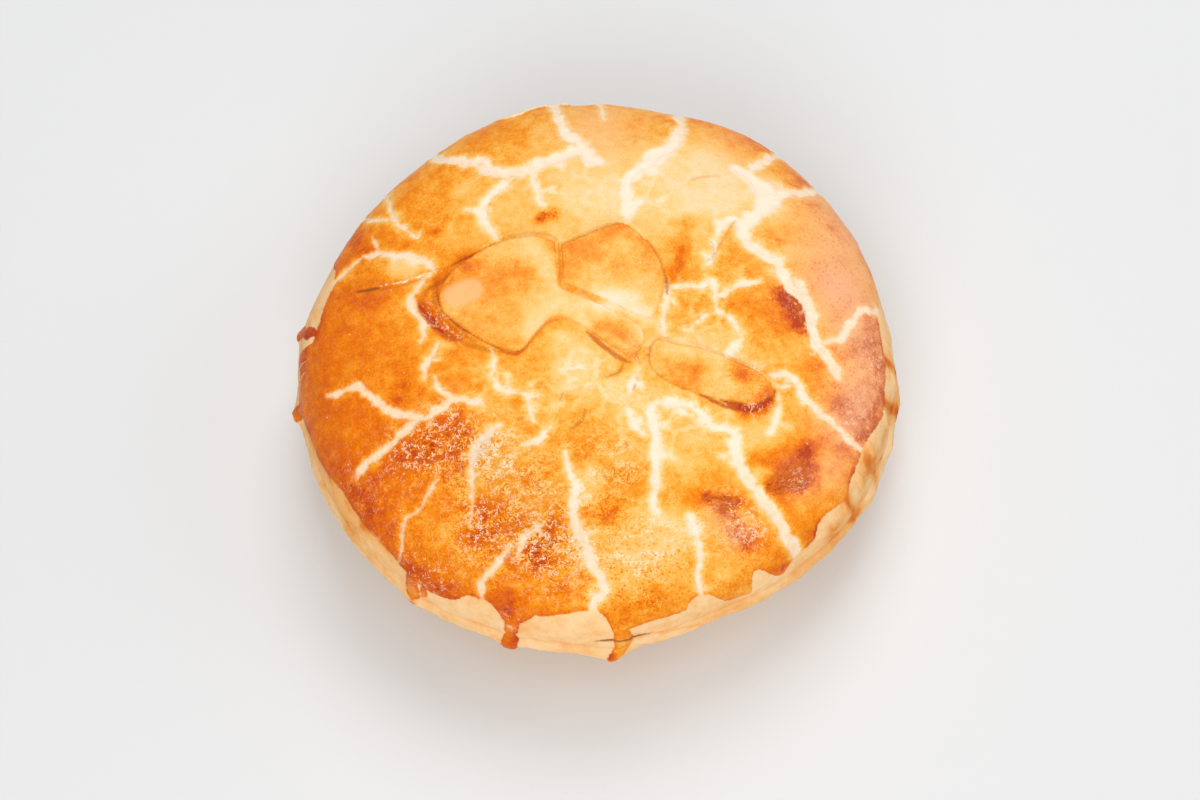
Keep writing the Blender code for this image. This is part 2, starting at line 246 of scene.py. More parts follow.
# Lower edge of the glaze where it shows, from the left round the front to the right
GLAZE_EDGE = (
    (335, 271), (335, 284), (327, 301), (321, 315), (320, 321), (313, 342), (311, 369), (299, 376), (299, 393),
    (302, 415), (308, 431), (317, 455), (330, 477), (343, 492), (353, 510), (369, 528), (385, 546), (396, 560),
    (405, 571), (418, 584), (430, 591), (443, 598), (456, 600), (467, 596), (480, 599), (492, 605), (500, 615),
    (506, 622), (523, 623), (534, 616), (547, 617), (561, 615), (572, 613), (584, 611), (598, 612), (606, 618),
    (612, 630), (617, 636), (635, 628), (646, 624), (667, 618), (686, 611), (689, 603), (698, 596), (712, 595),
    (725, 601), (742, 596), (752, 593), (752, 577), (759, 569), (775, 576), (784, 574), (793, 561), (803, 551),
    (815, 540), (818, 525), (828, 513), (839, 506), (848, 497), (850, 484), (856, 467), (861, 453), (865, 445),
    (873, 431), (882, 419), (884, 402), (885, 389), (886, 364), (879, 330), (877, 318), (879, 304),
)
HIDDEN_GLAZE_HEIGHT = 40 * MM
HIDDEN_GLAZE_WAVES = 4 * MM
HIDDEN_GLAZE_PLACES = 24
HIDDEN_GLAZE_MARGIN = 0.08

# Runs of glaze down the side: width and last drop below the route in mm, and route
GLAZE_RUNS = (
    (4.6, 7, ((316, 333), (307, 333), (298, 334))),
    (5.0, 9, ((306, 409), (299, 413), (293, 416))),
    (5.0, 0, ((412, 570), (412, 586), (412, 600))),
    (2.6, 0, ((424, 584), (424, 592), (422, 597))),
    (4.4, 0, ((514, 614), (511, 626), (510, 636))),
    (5.6, 5, ((511, 633), (510, 640), (509, 646))),
    (6.0, 0, ((620, 630), (624, 642), (619, 650))),
    (3.6, 4, ((628, 641), (619, 652), (611, 661))),
)

# How brown the plain pastry is: 0 is pale, 0.5 tan, 0.8 caramel and 1 brown. Each zone has its pixel or route of
# pixels, its reach in mm, its level and how strongly it covers the zones before it, as has each zone of the glaze.
WALL_START = 0.18
WALL_ZONES = (
    (((330, 270), (310, 320), (300, 360)), 6, 0.16, 0.9), (((300, 380), (312, 445)), 8, 0.6, 0.9),
    (((335, 500), (352, 525)), 6, 0.62, 0.9), (((375, 560), (400, 585)), 6, 0.34, 0.8),
    (((318, 455), (331, 480), (345, 496), (370, 532), (392, 555)), 2.2, 0.86, 0.9), ((349, 530), 5, 0.8, 0.8),
    (((440, 612), (480, 628)), 6, 0.22, 0.8), (((500, 646), (520, 650)), 4, 0.4, 0.7),
    (((640, 655), (700, 634), (760, 600)), 7, 0.3, 0.8), (((722, 608), (742, 602)), 3, 0.52, 0.6),
    ((712, 610), 3, 0.08, 0.8), (((800, 575), (840, 535)), 6, 0.5, 0.8),
    (((840, 530), (856, 510)), 3.5, 0.8, 0.7), ((862, 500), 3, 0.66, 0.8),
    (((865, 477), (871, 464), (878, 456)), 3, 0.86, 0.9), (((888, 420), (896, 400)), 4, 0.4, 0.8),
    ((884, 442), 2.4, 0.84, 0.8), ((868, 452), 2.5, 0.82, 0.8), (((893, 380), (888, 345)), 3, 0.44, 0.7),
    (((846, 497), (850, 508), (853, 517)), 2.6, 1.1, 0.9),
    (((866, 458), (873, 468), (877, 480)), 2.2, 1.0, 0.9),
    (((881, 459), (872, 473), (864, 487)), 1.4, 0.84, 0.8),
    (((885, 402), (891, 408), (898, 414)), 2.8, 1.15, 0.95),
    (((884, 358), (890, 366), (896, 372)), 2.2, 1.0, 0.9), (((830, 530), (836, 541)), 1.6, 0.8, 0.8),
    (((797, 572), (812, 556), (826, 545)), 1.5, 0.66, 0.8), (((872, 430), (880, 438)), 4, 0.02, 0.95),
    ((892, 386), 4, 0.02, 0.9), ((869, 494), 3.4, 0.04, 0.9), (((846, 516), (834, 532)), 3, 0.74, 0.8),
    ((412, 603), 1.6, 1.1, 0.9), ((324, 486), 1.8, 0.9, 0.8), ((397, 561), 3, 0.1, 0.8),
    ((880, 418), 2.4, 0.12, 0.8), ((866, 490), 3, 0.14, 0.7), ((846, 520), 3, 0.12, 0.7),
)

# How far the glaze has baked: 0 is bare cream pastry, 0.25 pale gold, 0.45 gold, 0.6 orange, 0.8 deep orange and
# 1 amber. The palest zones at the back and the middle of the top are partly painted highlight, where the sheen of
# the light washes out the glaze.
BAKE_START = 0.56
BAKE_AND_SHEEN_ZONES = (
    ((340, 330), 26, 0.78, 0.9), ((345, 430), 26, 0.82, 0.95), ((385, 500), 24, 0.82, 0.9),
    (((303, 330), (299, 380), (306, 430)), 6, 0.98, 0.85), (((352, 235), (330, 265)), 7, 0.82, 0.7),
    (((318, 330), (318, 400), (326, 440)), 7, 0.9, 0.6), (((320, 455), (345, 490), (372, 530)), 5, 0.9, 0.8),
    (((400, 563), (425, 582), (450, 596)), 5, 0.86, 0.8), (((500, 606), (520, 612)), 5, 0.92, 0.9),
    ((440, 560), 20, 0.74, 0.8), ((445, 540), 8, 0.56, 0.6), ((430, 340), 14, 0.66, 0.6),
    ((370, 265), 12, 0.64, 0.7), ((362, 245), 6, 0.86, 0.7), (((398, 268), (425, 268)), 4, 0.36, 0.8),
    ((387, 267), 3.4, 0.66, 0.8), (((395, 240), (420, 250)), 7, 0.78, 0.7), ((435, 215), 16, 0.56, 0.7),
    ((470, 228), 10, 0.46, 0.7), ((420, 180), 9, 0.62, 0.7), ((490, 210), 6, 0.34, 0.6),
    ((490, 138), 14, 0.6, 0.8), ((520, 128), 10, 0.6, 0.7), ((600, 122), 18, 0.42, 0.85),
    ((640, 126), 8, 0.56, 0.6), (((690, 124), (745, 140)), 9, 0.62, 0.9),
    (((740, 130), (766, 148)), 3, 0.8, 0.8), ((715, 150), 6, 0.36, 0.6), ((600, 195), 22, 0.17, 0.95),
    ((525, 205), 10, 0.34, 0.8), ((705, 200), 20, 0.13, 0.9), ((560, 218), 6, 0.3, 0.6),
    ((700, 165), 12, 0.14, 0.8), ((577, 226), 4, 0.52, 0.6), ((735, 262), 8, 0.56, 0.9),
    ((725, 245), 6, 0.5, 0.8), (((688, 226), (682, 244), (679, 266), (675, 281)), 4.4, 0.8, 0.98),
    ((696, 236), 5, 0.46, 0.6), ((838, 250), 22, 0.44, 0.9),
    (((862, 200), (878, 235), (887, 270)), 5, 0.62, 0.8), (((780, 240), (795, 262)), 5, 0.48, 0.8),
    ((765, 225), 7, 0.34, 0.7), ((812, 330), 10, 0.45, 0.5), ((795, 176), 6, 0.74, 0.9),
    ((780, 175), 6, 0.6, 0.7), ((760, 320), 10, 0.62, 0.85), (((783, 301), (792, 325)), 6, 0.86, 0.95),
    ((740, 305), 5, 0.66, 0.8), ((690, 308), 7, 0.56, 0.95), ((722, 335), 6, 0.44, 0.8),
    ((745, 350), 9, 0.42, 0.7), ((795, 355), 6, 0.46, 0.7), ((865, 375), 16, 0.6, 0.9),
    ((812, 365), 8, 0.56, 0.9), ((855, 425), 10, 0.72, 0.8), ((575, 362), 8, 0.1, 0.9),
    (((560, 294), (598, 308)), 3, 0.2, 0.8), (((672, 336), (715, 347), (755, 363)), 3, 0.24, 0.9),
    ((578, 387), 6, 0.18, 0.8), ((515, 370), 7, 0.62, 0.95), ((548, 352), 5, 0.5, 0.7),
    ((460, 365), 9, 0.64, 0.7), ((600, 355), 6, 0.34, 0.6), ((555, 410), 6, 0.52, 0.8),
    ((500, 400), 6, 0.52, 0.8), ((620, 400), 12, 0.26, 0.8), ((680, 408), 10, 0.24, 0.8),
    ((690, 440), 9, 0.38, 0.8), ((720, 405), 6, 0.2, 0.8), ((580, 430), 9, 0.66, 0.9),
    ((600, 448), 7, 0.6, 0.7), ((620, 425), 7, 0.3, 0.8), ((625, 455), 6, 0.46, 0.8),
    ((680, 462), 9, 0.42, 0.8), ((750, 440), 8, 0.4, 0.8), ((775, 430), 10, 0.36, 0.8),
    ((535, 470), 8, 0.56, 0.7), ((505, 445), 8, 0.46, 0.7), ((500, 480), 9, 0.5, 0.7),
    ((625, 490), 8, 0.66, 0.9), ((603, 470), 7, 0.56, 0.7), ((455, 500), 10, 0.72, 0.7),
    ((425, 470), 12, 0.76, 0.8), ((545, 520), 9, 0.6, 0.8), ((535, 500), 8, 0.5, 0.7),
    ((655, 555), 14, 0.27, 0.95), ((630, 530), 8, 0.3, 0.7), ((560, 590), 14, 0.66, 0.8),
    ((520, 575), 9, 0.7, 0.7), ((500, 595), 8, 0.78, 0.7), (((622, 612), (668, 604)), 8, 0.62, 0.95),
    (((705, 492), (735, 500)), 5, 0.8, 0.9), (((690, 499), (704, 503)), 3, 0.66, 0.8),
    ((735, 565), 12, 0.54, 0.9), ((725, 540), 7, 0.5, 0.8),
    (((770, 470), (788, 460), (808, 447)), 4.5, 0.92, 0.95), (((846, 440), (852, 480)), 5, 0.6, 0.8),
    ((720, 470), 8, 0.44, 0.7), ((828, 465), 6, 0.52, 0.9), ((800, 515), 9, 0.62, 0.9),
    ((828, 490), 7, 0.56, 0.8), ((778, 567), 5, 0.82, 0.8), ((812, 530), 5, 0.74, 0.8),
    ((758, 580), 4, 0.66, 0.6), ((712, 590), 6, 0.6, 0.7), (((668, 513), (683, 530)), 5, 0.2, 0.9),
    ((588, 480), 5, 0.2, 0.9), (((352, 296), (384, 293)), 4, 0.92, 0.9), ((616, 516), 4, 0.68, 0.9),
    ((770, 438), 6, 0.36, 0.9), ((840, 410), 5, 0.82, 0.9), ((509, 514), 5, 0.8, 0.9),
    ((345, 262), 4, 0.9, 0.8), ((465, 191), 5, 0.28, 0.9), ((602, 430), 4, 0.62, 0.8),
    ((404, 467), 8, 0.94, 0.85), ((818, 368), 5, 0.66, 0.9), ((708, 397), 4, 0.62, 0.8),
    ((727, 478), 5, 0.66, 0.9), (((705, 313), (722, 312)), 5, 0.56, 0.9), ((537, 479), 5, 0.66, 0.8),
    ((466, 390), 5, 0.6, 0.8), ((771, 184), 4, 0.12, 0.9), ((418, 204), 5, 0.72, 0.8),
    ((559, 335), 4, 0.18, 0.9), ((575, 402), 3.5, 0.54, 0.8), ((854, 428), 5, 0.72, 0.8),
    ((707, 463), 4, 0.6, 0.8), ((550, 216), 3, 0.6, 0.9), ((702, 264), 4, 0.46, 0.8),
    ((655, 164), 5, 0.06, 0.8), ((533, 542), 4, 0.66, 0.7), (((510, 636), (509, 650)), 4, 1.05, 0.95),
    ((611, 660), 2.4, 1.15, 0.9), ((508, 651), 2.2, 1.2, 0.9), ((309, 336), 4, 1.0, 0.9),
    (((605, 308), (640, 320)), 3, 0.1, 0.9), (((436, 300), (441, 315), (456, 328), (480, 342)), 2.0, 0.56, 0.9),
    (((425, 305), (433, 316), (443, 325), (453, 333)), 2.0, 1.15, 0.95), ((430, 297), 2.2, 0.5, 0.9),
    (((438, 288), (446, 281), (455, 275)), 2.4, 0.96, 0.9), (((464, 266), (478, 257)), 3, 0.86, 0.9),
    (((735, 408), (755, 411), (769, 402)), 2.5, 0.98, 0.9), ((499, 374), 4, 0.5, 0.9),
    ((672, 495), 4, 0.6, 0.8), ((711, 297), 5, 0.54, 0.9), ((646, 404), 4, 0.3, 0.8),
    ((538, 540), 4, 0.94, 0.85), ((753, 531), 4, 0.7, 0.8), ((401, 236), 4, 0.72, 0.8),
    ((527, 381), 4, 0.54, 0.8), ((777, 283), 4, 0.34, 0.85), ((734, 524), 4, 0.38, 0.7),
    ((764, 479), 2.4, 0.36, 0.8), ((549, 398), 4, 0.26, 0.8), (((684, 333), (701, 336)), 4, 0.2, 0.9),
    ((799, 253), 5, 0.28, 0.9), ((656, 592), 5, 0.48, 0.8), ((623, 588), 5, 0.38, 0.8),
    ((669, 462), 4, 0.18, 0.9), (((745, 180), (772, 206)), 6, 0.12, 0.8), ((762, 273), 4, 0.6, 0.8),
    ((453, 388), 4, 0.74, 0.85), ((510, 472), 4, 0.72, 0.85), ((486, 368), 4, 0.48, 0.8),
    ((720, 313), 3, 0.56, 0.8), ((512, 513), 4, 0.88, 0.8), ((621, 517), 5, 0.68, 0.8),
    ((538, 480), 4, 0.78, 0.8), (((396, 264), (414, 270)), 3.4, 0.22, 0.85), ((434, 484), 4, 0.76, 0.8),
    ((801, 343), 4, 0.3, 0.85), ((668, 493), 3.2, 0.64, 0.9), ((668, 512), 4, 0.16, 0.8),
    (((466, 508), (470, 524)), 3, 0.72, 0.8), ((693, 396), 4, 0.52, 0.8), ((652, 336), 3, 0.2, 0.9),
    ((586, 327), 3, 0.24, 0.8), ((855, 371), 4, 0.28, 0.8), ((792, 183), 3, 0.36, 0.7),
    ((693, 272), 4, 0.66, 0.9), ((376, 465), 3, 0.42, 0.8), ((446, 341), 3, 0.44, 0.8),
    ((553, 563), 5, 0.44, 0.8), ((465, 516), 3, 0.78, 0.85), ((721, 458), 4, 0.46, 0.8),
    ((703, 316), 3, 0.52, 0.8), ((590, 442), 4, 0.72, 0.8), ((554, 492), 4, 0.64, 0.8),
    ((673, 608), 4, 0.72, 0.8), ((507, 381), 3, 0.5, 0.8), ((766, 481), 2.6, 0.3, 0.8),
)

# Areas of painted sheen, the rosy haze of the light over the glaze: pixel or route, reach in mm and strength, as in
# the lists of areas that follow
SHEEN_HAZE_AREAS = (
    (((838, 215), (845, 280)), 18, 1.0), (((865, 345), (870, 385)), 12, 1.0), ((834, 288), 8, 0.5),
    ((735, 140), 12, 0.4), (((832, 425), (850, 402)), 8, 0.5), ((739, 534), 4.5, 0.9), ((800, 478), 6, 0.7),
    ((858, 430), 8, 0.8), ((722, 512), 5, 0.5), ((600, 128), 14, 0.5), ((835, 470), 7, 0.6),
)

# Toasted spots
TOASTED_SPOTS = (
    (((785, 295), (794, 303), (800, 314), (802, 325)), 3.4, 1.95), (((793, 302), (799, 313)), 2.6, 1.1),
    (((771, 487), (782, 481), (795, 472), (803, 463), (805, 455)), 3.2, 1.4),
    (((786, 486), (802, 476)), 3.6, 1.0), (((708, 498), (722, 498), (737, 501)), 1.8, 1.4),
    (((724, 506), (721, 513), (733, 518)), 2.4, 0.9), (((799, 485), (810, 474)), 3.2, 0.9),
    (((736, 530), (748, 544)), 3.2, 1.2), (((438, 436), (450, 426), (460, 440)), 5.5, 0.85),
    (((410, 452), (420, 440)), 5.0, 0.45), (((548, 534), (540, 552)), 5.5, 0.95),
    (((522, 552), (535, 560)), 4.0, 0.6), (((480, 518), (478, 535), (490, 528)), 5.0, 0.75),
    ((457, 412), 3.0, 0.5), ((397, 400), 3.0, 0.5), ((408, 380), 3.0, 0.4),
    (((541, 217), (554, 214)), 2.2, 1.3), ((488, 202), 1.4, 0.9), ((436, 232), 1.6, 0.7),
    (((681, 246), (677, 274)), 2.4, 0.35), ((778, 240), 2.6, 0.5), ((730, 302), 3.0, 0.5),
    ((832, 228), 2.6, 0.45), (((872, 325), (876, 349), (880, 385)), 4.0, 0.75),
    (((852, 350), (862, 372)), 4.0, 0.45), (((880, 400), (870, 425), (858, 445)), 4.0, 0.75),
    ((835, 448), 4.0, 0.4), ((843, 405), 4.0, 0.5), (((851, 483), (852, 473)), 2.0, 0.9),
    ((784, 569), 2.6, 0.9), ((816, 533), 3.0, 0.8), (((612, 505), (604, 515)), 4.0, 0.5),
    ((608, 474), 3.0, 0.3), (((341, 473), (362, 502), (384, 529)), 4.5, 0.35),
    (((403, 561), (423, 578), (447, 592)), 4.0, 0.7), ((510, 604), 4.0, 0.7), ((612, 622), 4.0, 0.5),
    (((372, 480), (380, 500)), 5.0, 0.3), (((308, 337), (301, 372)), 3.0, 0.8), ((560, 590), 4.0, 0.3),
    (((356, 240), (366, 250)), 4.0, 0.5), ((715, 140), 3.0, 0.3), (((794, 184), (806, 184)), 2.4, 0.6),
    (((428, 308), (438, 321), (450, 331)), 1.8, 0.8), (((738, 410), (756, 412), (767, 405)), 2.0, 0.6),
    ((812, 205), 3.0, 0.3), ((650, 603), 5.0, 0.35), ((520, 585), 5.0, 0.3), ((450, 470), 5.0, 0.3),
    ((500, 555), 5.0, 0.3),
)

# Areas with painted glints, the highlights on small bubbles, then areas with fine dark dots, with pale strands, and
# with a net of pale cracks
GLINT_AREAS = (
    (((450, 425), (440, 440)), 9, 1.0), ((412, 450), 9, 0.9), ((480, 525), 9, 0.9), ((545, 540), 10, 0.9),
    ((430, 575), 9, 0.6), (((350, 485), (380, 520)), 12, 0.25), ((742, 515), 7, 1.0), ((755, 530), 6, 0.7),
    ((510, 500), 16, 0.38), ((797, 478), 5, 0.5), ((797, 302), 3, 0.6), ((878, 360), 7, 0.7),
    (((430, 309), (455, 334)), 3, 0.7), ((755, 408), 5, 0.7), ((511, 622), 4, 0.8), ((360, 300), 12, 0.1),
    ((340, 380), 20, 0.06), ((850, 425), 8, 0.6), ((560, 560), 12, 0.6), ((640, 350), 5, 0.6),
)
DOTTED_AREAS = (
    (((838, 215), (845, 285)), 20, 0.9), ((650, 562), 17, 0.9), ((850, 380), 10, 0.9), ((740, 380), 8, 0.5),
    ((610, 600), 14, 0.6), ((745, 560), 12, 0.6), ((420, 420), 20, 0.4), ((430, 520), 14, 0.5),
)
BUBBLED_AREAS = (
    ((420, 450), 9, 0.8), ((470, 440), 9, 0.7), (((495, 470), (530, 510)), 15, 1.1), ((560, 550), 12, 0.9),
    ((645, 560), 15, 0.8), ((725, 520), 9, 0.9), ((745, 370), 9, 0.5), ((620, 470), 10, 0.8),
    ((585, 440), 8, 0.4), ((470, 550), 14, 0.5),
)
CRAZED_AREAS = (
    ((590, 375), 12, 0.7), ((540, 400), 12, 0.5), ((620, 420), 12, 0.4), ((710, 320), 10, 0.8),
    ((690, 420), 12, 0.8), ((700, 250), 10, 0.5), ((650, 190), 14, 0.4), ((560, 190), 12, 0.3),
    ((770, 390), 8, 0.6), ((480, 380), 9, 0.6), ((580, 150), 10, 0.4),
)

# Brown marks, some hair-thin, where the glaze has pooled, and painted shade along the raised edges of the cut-outs
# and of the flap of crust: width in mm, strength and route
POOLED_AND_SHADE_LINES = (
    (2.0, 1.1, ((457, 272), (448, 279), (439, 284), (429, 289))),
    (1.2, 0.7, ((430, 287), (424, 296), (420, 305))),
    (2.6, 1.35, ((419, 306), (425, 314), (433, 323), (442, 332))),
    (1.6, 1.05, ((440, 331), (450, 337), (462, 341))),
    (1.3, 0.7, ((458, 341), (470, 345), (483, 349), (496, 352))),
    (0.9, 1.2, ((438, 283), (438, 299), (445, 312), (454, 323), (466, 331), (480, 338), (493, 345),
                (503, 351))),
    (0.6, 1.0, ((434, 290), (434, 301), (441, 315), (450, 326), (462, 335), (476, 342))),
    (1.1, 1.1, ((500, 351), (508, 354), (517, 354), (525, 349), (529, 343))),
    (1.6, 1.2, ((463, 268), (469, 264), (475, 260))),
    (0.9, 1.3, ((451, 266.5), (460, 262), (470, 257), (479, 253))),
    (0.7, 0.8, ((476, 255), (488, 249), (497, 244))),
    (0.5, 0.5, ((500, 241), (516, 236), (531, 234), (545, 235), (554, 238), (558, 242))),
    (0.7, 0.7, ((559, 245), (560, 262), (560, 276), (560, 286))),
    (1.0, 1.0, ((515.8, 334), (517, 345))),
    (0.8, 0.7, ((529, 344), (537, 335), (542, 329), (551, 322), (560, 320))),
    (1.3, 1.0, ((588, 333), (600, 344), (610, 352), (620, 359), (630, 363))),
    (1.8, 0.7, ((627, 349), (634, 355), (638, 362))),
    (0.6, 0.8, ((623, 364), (621, 370), (614, 375), (606, 377))),
    (0.4, 0.3, ((560, 288), (574, 291), (588, 297), (595, 301))),
    (0.6, 0.5, ((562, 244), (575, 240), (590, 232), (603, 227), (618, 224))),
    (0.8, 0.6, ((646, 240), (655, 252), (661, 262), (664, 273))),
    (0.7, 0.7, ((656, 341), (650, 351), (650, 361), (656, 370), (668, 377), (680, 381), (692, 385))),
    (1.3, 1.0, ((692, 389), (702, 395), (714, 401))),
    (2.8, 1.4, ((722, 401), (735, 405), (749, 408), (760, 406), (768, 400), (774, 392))),
    (0.8, 1.2, ((700, 396), (716, 403), (732, 409), (750, 412), (763, 409))),
    (0.4, 0.3, ((690, 343), (710, 350), (730, 358), (748, 365), (762, 372), (771, 381))),
    (0.5, 0.8, ((638, 374), (635, 382), (633, 390))),
    (0.7, 0.7, ((563, 393), (560, 400))),
    (0.6, 0.8, ((585, 410), (583, 418), (577, 425), (571, 428))),
    (0.7, 0.8, ((517, 419), (524, 418))),
    (0.6, 0.6, ((603, 472), (608, 480))),
    (0.6, 0.6, ((587, 452), (585, 460))),
    (0.6, 0.6, ((626, 440), (627, 448))),
    (0.5, 0.4, ((680, 325), (692, 320), (702, 315), (707, 310))),
    (0.5, 0.45, ((708, 264), (716, 252), (728, 232), (735, 220))),
    (0.4, 0.35, ((690, 180), (705, 176), (720, 176))),
    (0.5, 0.5, ((307, 429), (317, 455), (331, 477), (343, 492), (369, 529), (391, 553), (405, 572))),
    (0.5, 0.5, ((314, 344), (315, 373), (314, 404))),
    (0.5, 0.4, ((651, 634), (673, 630), (699, 625))),
    (0.8, 1.2, ((704, 499), (714, 497), (724, 500), (737, 498))),
    (0.6, 1.0, ((716, 505), (724, 509), (738, 508))),
    (0.7, 1.2, ((766, 490), (782, 483), (797, 473), (806, 462))),
    (0.6, 1.2, ((774, 494), (789, 488), (804, 478))),
    (0.6, 1.1, ((778, 480), (792, 470), (802, 458))),
    (0.5, 1.0, ((764, 483), (778, 475), (790, 463))),
    (0.5, 1.0, ((783, 490), (797, 481), (808, 470))),
    (0.6, 0.8, ((791, 299), (798, 309), (801, 322))),
    (0.5, 0.7, ((360, 292), (378, 290), (396, 287), (412, 283), (428, 278))),
)

# Raised ridges and flakes of bare pastry: width and height in mm, and route
RIDGES = (
    (0.9, 0.4, ((380, 287), (396, 284), (412, 280), (427, 275), (440, 270))),
    (1.6, 0.8, ((566, 105), (555, 106), (537, 108), (521, 115), (500, 121))),
    (0.9, 0.3, ((625, 222), (634, 227), (645, 238))),
    (2.4, 0.6, ((892, 374), (896, 388))),
    (2.6, 0.7, ((883, 412), (889, 426))),
    (2.2, 0.6, ((868, 442), (874, 455))),
    (2.2, 0.6, ((858, 474), (864, 488))),
    (2.0, 0.5, ((846, 503), (850, 515))),
    (1.6, 0.5, ((890, 340), (893, 355))),
)

# Open slits, gaps and creases: width in mm, strength and route. At strength 1 a slit is SLIT_DEPTH mm deep, and the
# shade inside it is painted in the shadow colour. The first two show where the lid has lifted off the rim.
SLITS = (
    (1.0, 0.9, ((595, 641.5), (612, 641), (626, 639), (640, 637), (651, 634.5))),
    (1.5, 1.1, ((630, 638.5), (641, 636.5), (652, 633.5))),
    (1.0, 1.1, ((356, 292), (365, 290), (379, 288))),
    (1.4, 0.7, ((665, 274), (667, 284), (667, 295))),
    (0.6, 0.5, ((657, 337.5), (666, 338), (675, 338.5))),
    (0.6, 0.4, ((495, 238), (500, 242))),
    (0.9, 0.5, ((711, 240), (714, 250), (712, 262))),
    (1.1, 0.3, ((884, 403), (890, 409), (896, 415))),
    (0.9, 0.25, ((869, 462), (874, 470), (878, 480))),
    (0.9, 0.25, ((851, 495), (854, 506), (855, 517))),
    (0.8, 0.25, ((887, 363), (892, 370), (896, 376))),
    (0.8, 0.5, ((344, 524), (350, 532))),
)

# Outlines of the pastry cut-outs in plan, in mm. A point given twice is a sharp corner.
CUTOUT_OUTLINES_MM = {
    "leaf": (
        (-10, 31), (-10, 31), (-17, 34), (-29, 33), (-41, 27), (-48, 20), (-49, 12), (-44, 5), (-33, -4), (-24, -7),
        (-19, -2), (-12, 4), (-4, 0), (4, -7), (11, -13), (11, -13), (16, -8), (16, -8), (15, -1), (4, 7), (-5, 12),
        (-10, 15), (-10, 15),
    ),
    "side_leaf": (
        (-9, 16), (-9, 16), (-9, 30), (-9, 30), (-3, 32), (5, 35), (12, 36), (18, 31), (23, 22), (24, 14), (22, 6),
        (19, 1), (19, 1), (14, 2.2), (5, 8), (-4, 13),
    ),
    "stalk_end": (
        (17, -16), (17, -10), (20, -6), (26, -8), (34, -10), (42, -14), (50, -18), (55, -23), (55, -28), (49, -31),
        (40, -29), (31, -26), (23, -22),
    ),
}

# How far the glaze of the cut-outs has baked, on the scale of the crust's, with pale glossy patches that are partly
# painted highlight, and their patches without glaze
CUTOUT_BAKE_START = 0.5
CUTOUT_BAKE_AND_SHEEN_ZONES = (
    (((488, 282), (520, 278)), 7, 0.66, 0.95), (((455, 318), (480, 322)), 5, 0.6, 0.7),
    (((490, 325), (512, 330)), 6, 0.46, 0.9), (((530, 246), (549, 262), (552, 278)), 5.5, 0.2, 0.95),
    (((505, 250), (520, 246)), 5, 0.36, 0.7), (((542, 310), (530, 328)), 4, 0.18, 0.9),
    ((475, 268), 4, 0.72, 0.9), (((560, 302), (580, 309)), 4.5, 0.24, 0.95), ((590, 312), 2.2, 0.62, 0.9),
    (((601, 326), (632, 343)), 4.2, 0.72, 0.95), (((609, 338), (622, 346)), 1.2, 0.3, 0.8),
    (((645, 318), (651, 330)), 4, 0.1, 0.9), ((541, 295), 5, 0.5, 0.9), ((484, 309), 5, 0.62, 0.9),
    (((605, 306), (640, 316)), 3, 0.08, 0.9), (((562, 250), (590, 236), (622, 228)), 4.6, 0.72, 0.95),
    (((565, 258), (585, 256)), 5, 0.66, 0.8), (((640, 240), (656, 266)), 4.5, 0.6, 0.9),
    ((602, 264), 6, 0.42, 0.8), ((623, 268), 3.2, 0.68, 0.9), (((600, 300), (632, 301)), 5, 0.05, 0.98),
    (((645, 290), (655, 305)), 4, 0.4, 0.8), ((573, 280), 5, 0.36, 0.8),
    (((622, 238), (630, 250)), 2, 0.34, 0.6), ((575, 263), 5, 0.66, 0.9),
    (((445, 290), (453, 281)), 2.4, 0.95, 0.9), (((463, 271), (475, 262)), 2.0, 1.0, 0.8),
    ((479, 266), 2.0, 0.84, 0.8), (((735, 400), (752, 403), (767, 397)), 3.4, 1.08, 0.95),
    ((652, 335), 4, 0.16, 0.9), ((586, 327), 4, 0.2, 0.85), (((663, 354), (685, 372)), 4, 0.6, 0.8),
    (((676, 347), (705, 352)), 3.5, 0.38, 0.8), (((672, 343), (720, 357)), 3.6, 0.26, 0.8),
    ((700, 373), 4.6, 0.86, 0.95), (((716, 376), (730, 382)), 5, 0.34, 0.9), ((745, 376), 4.2, 0.9, 0.95),
    (((710, 390), (750, 398)), 4, 0.46, 0.8),
)
BARE_PATCHES = ((((457, 298), (471, 292)), 5.0, 1.0), ((722, 372), 4, 0.5), ((543, 262), 4, 0.5))


def on_curve(before, start, end, after, share):
    """What lies at a share of the way from start to end, on a smooth curve through all four."""
    bend = 2 * before - 5 * start + 4 * end - after
    return start + 0.5 * share * (end - before + share * (bend + share * (3 * (start - end) + after - before)))


def around(values, angles):
    """Read a ring of evenly spaced values at angles, along a smooth closed curve through them."""
    place = (angles / math.tau) % 1.0 * len(values)
    first = np.floor(place).astype(int)
    ring = np.array(values, dtype=float)
    return on_curve(*(ring[(first + step) % len(ring)] for step in (-1, 0, 1, 2)), place - first)


def uneven(points):
    """Move points of the perfectly round pie to where they lie on the hand-made one."""
    x, y, z = points.T
    angle = np.arctan2(y, x)
    radius = np.hypot(x, y)
    offset = around(RIM_OFFSETS_MM, angle)
    for degrees, reach, height in RIM_FOLDS:
        turn = (np.degrees(angle) - degrees + 180.0) % 360.0 - 180.0
        level = (z - RIM_HEIGHT) / RIM_FOLD_DEPTH
        offset = offset + height * np.exp(-((turn / reach) ** 2) - level**2)
    stretch = 1.0 + offset * MM / RIM_RADIUS
    swelling = 0.0
    for swell_x, swell_y, reach, height in SWELLINGS_MM:
        distance = np.hypot(x - swell_x * MM, y - swell_y * MM)
        swelling = swelling + height * MM * np.exp(-((distance / (reach * MM)) ** 2))
    wave = sum(height * MM * np.sin(count * angle + start) for height, count, start in SEAM_WAVES)
    nearness = np.exp(-(((z - SEAM_HEIGHT) / SEAM_WAVE_REACH) ** 2)) * (radius / RIM_RADIUS) ** 4
    rise = swelling * z / (SEAM_HEIGHT + LID_RISE) + wave * nearness * np.minimum(1.0, z / SEAM_WAVE_REACH)
    return np.column_stack((x * stretch, y * stretch, z + rise)) + AXIS


